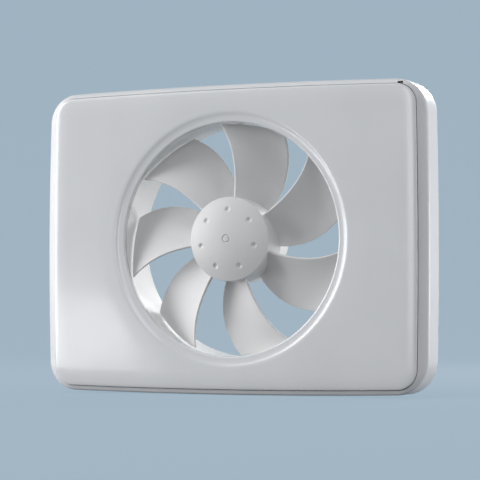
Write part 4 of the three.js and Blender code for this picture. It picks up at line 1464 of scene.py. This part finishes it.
@dataclass
class DuctRing(SubAssembly):
    """The tube with its flange and sealing ribs, the three swept arms and the motor base."""

    front: float = -18.2
    mouth_out: float = 1.75
    mouth_deep: float = 2.1
    edge_round: float = 0.3
    end_chamfer: float = 0.4
    rib_height: float = 1.7
    rib_half: float = 1.2
    rib_places: tuple[float, ...] = (4.6, 9.6)
    rib_section: tuple[Flat, ...] = (
        (-1.0, 0.0), (-0.8, 0.5), (-0.35, 0.95), (0.0, 1.0), (0.35, 0.95), (0.8, 0.5), (1.0, 0.0),
    )
    arm_width: float = 4.8
    arm_front: float = 1.6
    arm_rear: float = 9.6
    arm_round: float = 1.0
    arm_steps: int = 28
    base_front: float = -0.7
    base_inner: float = 22.85
    floor_front: float = 9.1
    base_round: float = 0.9
    base_steps: int = 144
    groove_front: float = 5.8
    groove_reach: Flat = (67.0, 76.0)
    chase: Flat = (-8.0, 7.8)
    boss: tuple[float, ...] = (5.65, 7.55, 6.4, 9.6)
    pin: tuple[float, ...] = (0.0, 1.6, 6.1, 9.6)
    pin_angles: tuple[float, ...] = (60, 180, 300)
    pin_inset: float = 2.6
    steps: int = 224

    def tube(self) -> list[Flat]:
        """The tube's section with its flange and sealing ribs.

        Returns:
            The profile.
        """
        radius, outer, end = DATUM.duct_radius, DATUM.duct_outer, DATUM.spigot_end
        mouth, start = radius + self.mouth_out, self.front + self.mouth_deep
        edge, chamfer = self.edge_round, self.end_chamfer
        flange, front, rear = DATUM.flange_outer, DATUM.flange_front, DATUM.flange_rear
        ribs = [
            (outer + self.rib_height * high, middle + self.rib_half * along)
            for middle in self.rib_places for along, high in self.rib_section
        ]
        return [
            (radius, end - chamfer), (radius, start + 3 * edge), *eased(radius, start, edge, edge),
            (mouth - edge, start), (mouth, start - edge), (mouth, self.front),
            (outer - edge, self.front), (outer, self.front + edge),
            *eased(outer, front, 2 * edge, -2 * edge), (flange - edge, front),
            (flange, front + edge), (flange, rear - edge), (flange - edge, rear), (outer, rear),
            *ribs, (outer, end - chamfer), (outer - chamfer, end), (radius + chamfer, end),
        ]

    def base(self) -> list[Flat]:
        """The motor base's section: a shallow cup open to the front.

        Returns:
            The profile.
        """
        radius, end, edge = DATUM.hub_radius, DATUM.spigot_end, self.base_round
        inner, front, floor = self.base_inner, self.base_front, self.floor_front
        return [
            (0.0, floor), (inner, floor), (inner, front), (radius - 0.3, front),
            (radius, front + 0.3),
            *arc((radius, end - edge), (radius - edge, end - edge), (radius - edge, end), 8),
            (radius - 3.6, end), (radius - 3.9, end - 0.35), (0.0, end - 0.35),
        ]

    def arm(self, start: float, grooved: bool) -> list[Ring]:
        """One arm as rings across its swept middle line.

        Args:
            start: the arm's angle at the hub.
            grooved: whether its rear side has the lead's groove.

        Returns:
            The rings from the base to the tube.
        """
        half, edge, groove = self.arm_width / 2, self.arm_round, DATUM.lead_half
        front, rear, deep = self.arm_front, self.arm_rear, self.groove_front
        top = arc((half, front + edge), (half - edge, front + edge), (half - edge, front), 5)
        channel = [(-groove, rear), (-groove, deep), (groove, deep), (groove, rear)]
        section = [
            *top, *((-s, y) for s, y in reversed(top)), (-half, rear - 0.4), (-half + 0.4, rear),
            *(channel if grooved else []), (half - 0.4, rear), (half, rear - 0.4),
        ]
        rings = []
        inner, outer = DATUM.hub_radius - 1, DATUM.duct_radius + 1
        for i in range(self.arm_steps + 1):
            radius = inner + (outer - inner) * i / self.arm_steps
            middle = Vector(polar(radius, DATUM.arm_angle(start, radius)))
            ahead = Vector(polar(radius + 0.1, DATUM.arm_angle(start, radius + 0.1)))
            run = (ahead - middle).normalized()
            side = Vector((-run.z, 0.0, run.x))
            rings.append([tuple(middle + side * s + Vector((0, y, 0))) for s, y in section])
        return rings

    def notches(self) -> Shape:
        """The lead's way through the tube's wall and through the flange and a rib.

        Returns:
            Both cutters.
        """
        tools = Shape()
        half, turn = DATUM.lead_half, DATUM.lead_angle
        (low, high), (front, rear) = self.groove_reach, self.chase
        tools.box((low, self.groove_front, -half), (high, self.arm_rear, half), 0.2, turn)
        tools.box((DATUM.duct_outer, front, -half), (DATUM.lead_slot, rear, half), 0.0, turn)
        return tools

    def build(self) -> None:
        """Builds and dresses the duct ring."""
        shape, rest = Shape(), Shape()
        material = self.shelf.material("duct")
        shape.lathe(self.tube(), self.steps)
        piece = shape.piece("ribbed_duct_ring", material)
        cut_away(piece, self.notches())
        rest.lathe(self.base(), self.base_steps)
        for index, start in enumerate(DATUM.arm_starts):
            rest.skin(self.arm(start, index == DATUM.lead_arm), closed=False)
        rest.lathe(sleeve(*self.boss), 48)
        for angle in self.pin_angles:
            x, _, z = polar(self.base_inner - self.pin_inset, angle)
            rest.lathe(sleeve(*self.pin), 20, x, z)
        merge(piece, rest.piece("rest", material))
        self.hand_over(piece, "duct", Body.FAN, ["duct_ring"])


# ------------------------------------------------------------------ impeller


@dataclass
class Impeller(SubAssembly):
    """Seven swept blades round a domed hub with dimples and a gate ring."""

    blades: int = 7
    hub_wall: float = 2.0
    hub_edge: float = 1.0
    dome_rise: float = 4.4
    lead_angle: float = 137.4
    lead_sweep: float = 10.0
    lead_setback: float = 5.5
    trail_angle: float = 93.9
    trail_sweep: float = 22.2
    trail_setback: float = 20.2
    tip_lift: float = 2.2
    root_thick: float = 1.9
    tip_thick: float = 1.5
    camber: float = 1.6
    dimple_circle: float = 17.3
    dimple_radius: float = 1.75
    dimple_depth: float = 1.0
    dimple_power: float = 1.4
    dome_foot: float = 0.05
    gate_radius: float = 2.1
    gate_half: float = 0.5
    gate_depth: float = 0.5
    fine_radius: float = 3.0
    fine_step: float = 0.14
    dome_step: float = 0.4
    nudge: float = 1e-3
    nose: float = 0.16
    steps: int = 280

    def hub_profile(self) -> list[Flat]:
        """The hub cup's section, with close rings where the dimples come.

        Returns:
            The profile.
        """
        radius, front, rear = DATUM.hub_radius, DATUM.hub_front, DATUM.hub_rear
        edge, wall, flat = self.hub_edge, self.hub_wall, radius - self.hub_edge
        sphere = (flat ** 2 + self.dome_rise ** 2) / (2 * self.dome_rise)
        profile = []
        away = 0.0
        while away < flat:
            rise = math.sqrt(sphere ** 2 - away ** 2) - (sphere - self.dome_rise)
            profile.append((away, front - rise))
            away += self.fine_step if away < self.fine_radius else self.dome_step
        profile += arc((flat, front), (flat, front + edge), (radius, front + edge), 7)
        profile += [(radius, rear - 0.25), (radius - 0.25, rear), (radius - wall, rear)]
        return profile + [(radius - wall, front + wall), (0.0, front + wall)]

    def cap_tree(self) -> GeometrySheet:
        """Presses the ring of dimples and the gate ring into the hub's dome.

        Returns:
            The finished tree.
        """
        sheet = GeometrySheet("dimpled_cap")
        count, circle, radius, depth, gate, gate_half, gate_depth, front = sheet.sizes({
            "Dimples": self.blades,
            "Dimple Circle": self.dimple_circle * MM,
            "Dimple Radius": self.dimple_radius * MM,
            "Dimple Depth": self.dimple_depth * MM,
            "Gate Radius": self.gate_radius * MM,
            "Gate Half Width": self.gate_half * MM,
            "Gate Depth": self.gate_depth * MM,
            "Dome Foot": (DATUM.hub_front + self.dome_foot) * MM,
        })
        x, y, z = sheet.position()
        away = sheet.length(x, z)
        pitch = 2 * math.pi / count
        turn = (sheet.math("ARCTAN2", z, x) - math.pi / 2) / pitch
        near = (turn - sheet.math("ROUND", turn)) * pitch
        across = away * sheet.math("COSINE", near) - circle
        reach = sheet.length(across, away * sheet.math("SINE", near)) / radius
        bowl = sheet.math("MAXIMUM", 1 - reach * reach, 0.0) ** self.dimple_power
        ring = sheet.math("ABSOLUTE", away - gate) / gate_half
        groove = sheet.math("MAXIMUM", 1 - ring * ring, 0.0)
        sink = (bowl * depth + groove * gate_depth) * sheet.math("LESS_THAN", y, front)
        moved = sheet.moved(sheet.geometry(), 0.0, sink, 0.0, by=True)
        sheet.end(moved, self.shelf.material("blades"))
        return sheet

    def blade_tree(self) -> GeometrySheet:
        """The blades: a closed wing bent by the blade's rule, set round the hub.

        Returns:
            The finished tree.
        """
        sheet = GeometrySheet("swept_blades")
        (
            count, root, tip, lead, lead_sweep, trail, trail_sweep, lead_y, trail_y, lift,
            camber, thick, tip_thick,
        ) = sheet.sizes({
            "Blades": self.blades,
            "Root Radius": (DATUM.hub_radius - self.hub_wall / 2) * MM,
            "Tip Radius": DATUM.tip_radius * MM,
            "Lead Angle": math.radians(self.lead_angle),
            "Lead Sweep": math.radians(self.lead_sweep),
            "Trail Angle": math.radians(self.trail_angle),
            "Trail Sweep": math.radians(self.trail_sweep),
            "Lead Place": (DATUM.face + self.lead_setback) * MM,
            "Trail Place": (DATUM.face + self.trail_setback) * MM,
            "Tip Lift": self.tip_lift * MM,
            "Camber": self.camber * MM,
            "Root Thickness": self.root_thick * MM,
            "Tip Thickness": self.tip_thick * MM,
        })
        wing = sheet.cylinder(112, 1.0, 1.0, **{"Side Segments": 30, "Fill Segments": 1})
        px, py, pz = sheet.position()
        span = sheet.clamped(pz, -0.5, 0.5, 0.0, 1.0)
        chord = (1 - px) * 0.5

        def middle(s: Field, c: Field) -> Field:
            """The blade's middle surface at a span and a chord.

            Args:
                s: the span, from 0 at the root to 1.
                c: the chord, from 0 at the leading edge to 1.

            Returns:
                The place.
            """
            radius = root + (tip - root) * s
            held = sheet.math("MAXIMUM", s, 0.0)
            first = lead + lead_sweep * held * held
            last = trail + trail_sweep * held ** 1.5
            angle = first + (last - first) * c
            y = lead_y + (trail_y - lift * s - lead_y) * c + camber * 4 * c * (1 - c)
            x, z = sheet.math("COSINE", angle), sheet.math("SINE", angle)
            return sheet.join_xyz(radius * x, y, radius * z)

        place = middle(span, chord)
        by_chord = sheet.vector("SUBTRACT", middle(span, chord + self.nudge), place)
        by_span = sheet.vector("SUBTRACT", middle(span + self.nudge, chord), place)
        out = sheet.vector("NORMALIZE", sheet.vector("CROSS_PRODUCT", by_chord, by_span))
        nose = self.nose ** 2
        shoulder = py / sheet.math("SQRT", py * py + nose) * math.sqrt(1 + nose)
        half = (thick + (tip_thick - thick) * span) * 0.5 * shoulder
        scaled = {0: out, "Scale": half}
        offset = sheet.field("ShaderNodeVectorMath", scaled, "Vector", operation="SCALE")
        x, y, z = sheet.split_xyz(sheet.vector("ADD", place, offset))
        held = sheet.math("MINIMUM", tip / sheet.length(x, z), 1.0)
        bent = sheet.moved(wing, x * held, y, z * held)
        points = sheet.field("GeometryNodePoints", {"Count": count})
        turn = sheet.index() * (2 * math.pi / count)
        spin = sheet.field("FunctionNodeEulerToRotation", {0: sheet.join_xyz(0.0, turn, 0.0)})
        sheet.end(sheet.copies(points, bent, Rotation=spin), self.shelf.material("blades"))
        return sheet

    def dress_hub(self, piece: bpy.types.Object) -> None:
        """Gives the faces within the hub's radius the hub's own finish.

        Args:
            piece: the impeller.
        """
        piece.data.materials.append(self.shelf.material("hub"))
        for face in piece.data.polygons:
            if math.hypot(face.center.x, face.center.z) < (DATUM.hub_radius + 0.01) * MM:
                face.material_index = 1

    def build(self) -> None:
        """Builds and dresses the impeller as one piece."""
        hub = Shape()
        hub.lathe(self.hub_profile(), self.steps)
        piece = hub.piece("swept_impeller", self.shelf.material("blades"))
        self.cap_tree().run(piece)
        wings = add_object("wings", bpy.data.meshes.new("wings"))
        self.blade_tree().run(wings)
        outward(wings)
        merge(piece, wings)
        self.dress_hub(piece)
        self.hand_over(piece, "blades", Body.ROTOR, ["impeller"])


def outward(piece: bpy.types.Object) -> None:
    """Points every face of closed shells outwards.

    Args:
        piece: the object.
    """
    shell = bmesh.new()
    shell.from_mesh(piece.data)
    bmesh.ops.recalc_face_normals(shell, faces=shell.faces)
    shell.to_mesh(piece.data)
    shell.free()


# ------------------------------------------------------------------ motor


@dataclass
class Motor(SubAssembly):
    """The external-rotor motor, whose solids stay and get their finishes, and its lead."""

    lead_thick: float = 1.0
    lead_y: float = 7.2
    bay_left: float = 94.1
    bay_y: float = -9.4
    bay_z: float = -25.0
    lead_sides: int = 16
    lead_steps: int = 9
    lead_start: float = 18.85
    lead_stride: float = 7.5
    kept = {
        "brass": ("bearing_tube",),
        "core": ("stator_core",),
        "copper": tuple(f"stator_coil_{number}" for number in range(1, 5)),
        "board": ("motor_board",),
        "ferrite": ("rotor_magnet",),
        "steel": ("bearing_front", "bearing_rear", "rotor_cup", "motor_shaft", "shaft_clip"),
    }

    def lead_points(self) -> list[Vector]:
        """The lead's way: out along the arm, up the duct's outside and into the bay.

        Returns:
            Its corners in order.
        """
        start, y = DATUM.arm_starts[DATUM.lead_arm], self.lead_y
        angle, rise, bay = DATUM.lead_angle, DATUM.lead_radius, self.bay_left
        stations = []
        radius = self.lead_start
        while radius < DATUM.duct_radius:
            stations.append(radius)
            radius += self.lead_stride
        stations.append(DATUM.duct_radius + 0.5)
        points = [polar(radius, DATUM.arm_angle(start, radius), y) for radius in stations]
        for out, height in (
            (-0.35, y - 0.9), (0, y - 3), (0, DATUM.back_front), (0, DATUM.flange_front - 1),
            (2, self.bay_y + 0.4),
        ):
            points.append(polar(rise + out, angle, height))
        points += [(x, self.bay_y, self.bay_z) for x in (bay - 6, bay + 5)]
        return [Vector(point) for point in points]

    def build(self) -> None:
        """Builds the lead as a smooth round sheath."""
        path = smooth_path(self.lead_points(), self.lead_steps)
        shape = Shape()
        shape.skin(tube_rings(path, self.lead_thick, self.lead_sides), closed=False)
        self.deliver(shape, "sheathed_motor_lead", "sheath", Body.FAN, "motor_lead")


def smooth_path(points: list[Vector], steps: int) -> list[Vector]:
    """A centripetal curve through points.

    Args:
        points: what it passes through.
        steps: steps between two of them.

    Returns:
        Points along the curve.
    """
    ends = [points[0] * 2 - points[1], *points, points[-1] * 2 - points[-2]]
    path = []
    for a, b, c, d in zip(ends, ends[1:], ends[2:], ends[3:]):
        t1 = (b - a).length ** 0.5
        t2 = t1 + (c - b).length ** 0.5
        t3 = t2 + (d - c).length ** 0.5
        for i in range(steps):
            t = t1 + (t2 - t1) * i / steps
            p = a * ((t1 - t) / t1) + b * (t / t1)
            q = b * ((t2 - t) / (t2 - t1)) + c * ((t - t1) / (t2 - t1))
            r = c * ((t3 - t) / (t3 - t2)) + d * ((t - t2) / (t3 - t2))
            first = p * ((t2 - t) / t2) + q * (t / t2)
            second = q * ((t3 - t) / (t3 - t1)) + r * ((t - t1) / (t3 - t1))
            path.append(first * ((t2 - t) / (t2 - t1)) + second * ((t - t1) / (t2 - t1)))
    path.append(points[-1])
    return path


def tube_rings(path: list[Vector], radius: float, sides: int) -> list[Ring]:
    """Rings of a round tube along a path, without twist.

    Args:
        path: the tube's middle line.
        radius: its radius.
        sides: points round it.

    Returns:
        One ring for each point of the path.
    """
    rings = []
    aside = Vector((0.0, 1.0, 0.0))
    for i, point in enumerate(path):
        run = (path[min(i + 1, len(path) - 1)] - path[max(i - 1, 0)]).normalized()
        aside = (aside - run * aside.dot(run)).normalized()
        other = run.cross(aside)
        ring = []
        for k in range(sides):
            turn = 2 * math.pi * k / sides
            ring.append(tuple(point + (aside * math.cos(turn) + other * math.sin(turn)) * radius))
        rings.append(ring)
    return rings


# ------------------------------------------------------------------ electronics and fittings


@dataclass
class ElectronicsBay(SubAssembly):
    """The board under its cover, whose solids stay and get their finishes."""

    kept = {
        "board": ("control_board",),
        "dark": ("power_module", "capacitor"),
        "inner": ("terminal_block", "board_cover", "cable_clamp"),
    }


@dataclass(frozen=True)
class ScrewGroup:
    """Like screws at one height, made as one piece."""

    name: str
    node: str
    seat: float
    length: float
    places: tuple[Flat, ...]


@dataclass
class Fittings(SubAssembly):
    """The wall seal, the cable's grommet and every screw."""

    seal_inset: float = 3.4
    seal_width: float = 5.0
    seal_thick: float = 1.3
    seal_edge: tuple[Flat, ...] = ((0.0, -0.35), (0.1, -0.1), (0.35, 0.0), (1.8, 0.0))
    grommet_bore: float = 3.1
    grommet_neck: float = 5.5
    grommet_flange: float = 7.4
    grommet_front: float = -5.4
    grommet_round: float = 0.7
    grommet_lead_in: float = 0.5
    grommet_slack: float = 0.3
    head_radius: float = 2.6
    head_height: float = 1.8
    shank_radius: float = 1.3
    shank_length: float = 5.0
    shank_sunk: float = 0.2
    head_side: float = 0.45
    cross_reach: float = 1.15
    cross_width: float = 0.8
    cross_depth: float = 0.9
    groups: tuple[ScrewGroup, ...] = (
        ScrewGroup(
            "duct_ring_screws", "duct_screw_", -6.8, 4.9,
            ((54.34, 54.34), (-54.34, 54.34), (-54.34, -54.34), (54.34, -54.34)),
        ),
        ScrewGroup("cover_screws", "cover_screw_", -10.1, 5.7, DATUM.cover_screws),
        ScrewGroup("clamp_screws", "clamp_screw_", -11.0, 6.6, DATUM.clamp_screws),
    )

    def seal(self) -> None:
        """The foam strip round the back, its edges a little rounded."""
        low, high = self.seal_inset, self.seal_inset + self.seal_width
        edge = ((0.0, -self.seal_thick), *self.seal_edge)
        section = [(low + out, y) for out, y in edge]
        section += [(high - out, y) for out, y in reversed(edge)]
        shape = Shape()
        shape.skin([DATUM.outer.ring(inset, y) for inset, y in section])
        self.deliver(shape, "foam_wall_strip", "foam", Body.FAN, "wall_seal")

    def grommet(self) -> None:
        """The rubber grommet with rounded flanges."""
        bore, neck, flange = self.grommet_bore, self.grommet_neck, self.grommet_flange
        front, edge, slack = self.grommet_front, self.grommet_round, self.grommet_slack
        inner_front, inner_rear = DATUM.back_front - slack, DATUM.back_rear + slack
        rim, lead_in = flange - edge, self.grommet_lead_in
        profile = [
            *eased(bore, front, lead_in, lead_in),
            *arc((rim, front), (rim, front + edge), (flange, front + edge), 4),
            (flange, inner_front), (neck, inner_front), (neck, inner_rear), (flange, inner_rear),
            *arc((flange, -edge), (rim, -edge), (rim, 0.0), 4),
            *eased(bore, 0.0, lead_in, -lead_in)[::-1],
        ]
        shape = Shape()
        shape.lathe(profile, 56, *DATUM.entry)
        self.deliver(shape, "entry_grommet", "rubber", Body.FAN, "cable_grommet")

    def screw_tree(self) -> GeometrySheet:
        """A pan-head screw with a cross recess on each point that comes in.

        Returns:
            The finished tree.
        """
        sheet = GeometrySheet("pan_head_screws")
        head_radius, head_height, shank_radius, shank_length, width, depth = sheet.sizes({
            "Head Radius": self.head_radius * MM,
            "Head Height": self.head_height * MM,
            "Shank Radius": self.shank_radius * MM,
            "Shank Length": self.shank_length * MM,
            "Cross Width": self.cross_width * MM,
            "Cross Depth": self.cross_depth * MM,
        })
        disc = sheet.cylinder(32, 1.0, 1.0, **{"Side Segments": 3, "Fill Segments": 6})
        x, y, z = sheet.position()
        away = sheet.math("MINIMUM", sheet.length(x, y), 1.0)
        top = sheet.math("GREATER_THAN", z, 0.4)
        side = self.head_side
        dome = sheet.math("SQRT", 1.0001 - away ** 3.0)
        crown = head_height * (side + (1 - side) * dome)
        rise = (z + 0.5) * head_height * side
        height = top * crown + (1 - top) * rise
        head = sheet.moved(disc, x * head_radius, height * -1.0, y * head_radius)
        long, deep = head_radius * self.cross_reach, depth * 2
        recessed = sheet.add("GeometryNodeMeshBoolean", {0: head}, operation="DIFFERENCE")
        for size in (sheet.join_xyz(long, deep, width), sheet.join_xyz(width, deep, long)):
            bar = sheet.field("GeometryNodeMeshCube", {"Size": size})
            drop = {0: bar, "Translation": sheet.join_xyz(0.0, head_height * -1.0, 0.0)}
            sheet.put(recessed.inputs[1], sheet.field("GeometryNodeTransform", drop))
        shank = {
            0: sheet.cylinder(20, shank_radius, shank_length, "NGON"),
            "Translation": sheet.join_xyz(0.0, shank_length * 0.5 - self.shank_sunk * MM, 0.0),
            "Rotation": (math.pi / 2, 0.0, 0.0),
        }
        whole = sheet.joined(sheet.out(recessed), sheet.field("GeometryNodeTransform", shank))
        sheet.end(sheet.copies(sheet.geometry(), whole), self.shelf.material("steel"))
        return sheet

    def screws(self) -> None:
        """Every group of screws, each group at its own height."""
        tree = self.screw_tree()
        for group in self.groups:
            mesh = bpy.data.meshes.new(group.name)
            mesh.from_pydata([(x * MM, group.seat * MM, z * MM) for x, z in group.places], [], [])
            piece = add_object(group.name, mesh)
            tree.run(piece, {"Shank Length": group.length * MM})
            outward(piece)
            soften(piece)
            nodes = [f"{group.node}{i + 1}" for i in range(len(group.places))]
            self.hand_over(piece, "steel", Body.FAN, nodes)

    def build(self) -> None:
        """Builds and dresses the fittings."""
        self.seal()
        self.grommet()
        self.screws()


# ------------------------------------------------------------------ studio


def set_up(name: str, data: bpy.types.ID, place: Vector, run: Vector) -> bpy.types.Object:
    """Places a lamp or the camera so that it looks along a line.

    Args:
        name: what the object is called.
        data: the lamp or the camera.
        place: where it stands.
        run: the line that it looks along.

    Returns:
        The new object.
    """
    holder = add_object(name, data)
    holder.location = place
    holder.rotation_mode = "QUATERNION"
    holder.rotation_quaternion = run.to_track_quat("-Z", "Y")
    return holder


@dataclass(frozen=True)
class SoftLamp:
    """One soft rectangular lamp."""

    name: str
    place: Point
    aim: Point
    width: float
    height: float
    power: float

    def light(self) -> None:
        """Puts the lamp into the scene."""
        lamp = bpy.data.lights.new(self.name, "AREA")
        lamp.shape = "RECTANGLE"
        lamp.size, lamp.size_y = self.width, self.height
        lamp.energy = self.power
        run = Vector(self.aim) - Vector(self.place)
        set_up(self.name, lamp, Vector(self.place), run).visible_camera = False


@dataclass
class Studio:
    """The camera at the photograph's angle, the pale floor and the soft light."""

    azimuth: float = 24.14
    elevation: float = -2.15
    distance: float = 1.1566
    aim: Point = (0.00728, -0.022, 0.00055)
    lens: float = 149.16
    shift_right: float = 1 / 480
    shift_up: float = -2.2 / 480
    floor_z: float = -0.0912
    floor_half: float = 3.0
    backdrop_y: float = 1.4
    backdrop_high: float = 2.4
    sweep: float = 0.5
    sweep_steps: int = 12
    world: float = 0.08
    far: Colour = (0.35, 0.45, 0.54)
    lamps: tuple[SoftLamp, ...] = (
        SoftLamp("left_wall", (-1.7, -0.8, 0.5), (0.0, 0.0, 0.0), 1.2, 1.2, 29.0),
        SoftLamp("key", (-0.8, -1.0, 1.0), (0.0, 0.0, 0.0), 0.5, 0.5, 1.5),
        SoftLamp("top", (0.0, -0.5, 1.2), (0.0, 0.0, 0.0), 0.9, 0.4, 3.3),
        SoftLamp("low_left", (-0.36, -0.3, -0.06), (-0.1, -0.02, -0.1), 0.3, 0.06, 0.3),
        SoftLamp("right_strip", (0.03, -1.1, 0.25), (0.1, 0.0, 0.0), 0.24, 0.76, 1.8),
        SoftLamp("right_wall", (1.3, -0.4, 0.3), (0.0, 0.0, 0.0), 0.9, 0.9, 5.5),
        SoftLamp("right_back", (0.75, 0.5, 0.0), (-0.05, 0.0, 0.0), 0.6, 0.16, 3.2),
        SoftLamp("top_back", (0.25, 0.5, 0.42), (-0.05, 0.0, -0.03), 0.4, 0.3, 3.8),
    )

    def camera(self) -> None:
        """Sets up the camera."""
        data = bpy.data.cameras.new("camera")
        data.sensor_width = 36.0
        data.lens = self.lens
        data.shift_x, data.shift_y = self.shift_right, self.shift_up
        data.dof.use_dof = False
        data.clip_start, data.clip_end = 0.01, 30.0
        a, e = math.radians(self.azimuth), math.radians(self.elevation)
        back = Vector((math.sin(a) * math.cos(e), -math.cos(a) * math.cos(e), math.sin(e)))
        place = Vector(self.aim) + back * self.distance
        bpy.context.scene.camera = set_up("camera", data, place, -back)

    def stage(self) -> None:
        """Lays the floor, which sweeps up into the backdrop."""
        half, low, far = self.floor_half, self.floor_z, self.backdrop_y
        near, high = far - self.sweep, low + self.sweep
        line = [(-half, low), *arc((near, low), (near, high), (far, high), self.sweep_steps)]
        line.append((far, self.backdrop_high))
        verts = [(x, y, z) for y, z in line for x in (-half, half)]
        faces = [(2 * i, 2 * i + 1, 2 * i + 3, 2 * i + 2) for i in range(len(line) - 1)]
        mesh = bpy.data.meshes.new("floor_sweep")
        mesh.from_pydata(verts, [], faces)
        mesh.shade_smooth()
        mesh.materials.append(PaleStage().material())
        add_object("floor_sweep", mesh)

    def sky(self) -> None:
        """An even pale world."""
        world = bpy.data.worlds.new("studio")
        bpy.context.scene.world = world
        world.use_nodes = True
        sheet = NodeSheet(world.node_tree)
        white = {"Color": (1.0, 1.0, 1.0, 1.0), "Strength": self.world}
        glow = sheet.field("ShaderNodeBackground", white)
        seen = sheet.field("ShaderNodeBackground", {"Color": (*self.far, 1.0), "Strength": 1.0})
        both = sheet.field("ShaderNodeMixShader", {0: seen_rays(sheet), 1: glow, 2: seen})
        sheet.add("ShaderNodeOutputWorld", {"Surface": both})

    def build(self) -> None:
        """Sets the scene up."""
        bpy.context.scene.view_settings.view_transform = "Standard"
        self.camera()
        self.stage()
        self.sky()
        for lamp in self.lamps:
            lamp.light()


# ------------------------------------------------------------------ assembly


def main() -> None:
    """Builds every sub-assembly in order."""
    logging.basicConfig(level=logging.INFO, format="%(name)s: %(message)s")
    Studio().build()
    shelf = FinishShelf()
    for kind in (FrontPlate, Housing, DuctRing, Impeller, Motor, ElectronicsBay, Fittings):
        log.info("building %s", kind.__name__)
        assembly = kind(shelf)
        assembly.dress()
        assembly.build()


if __name__ == "__main__":
    main()
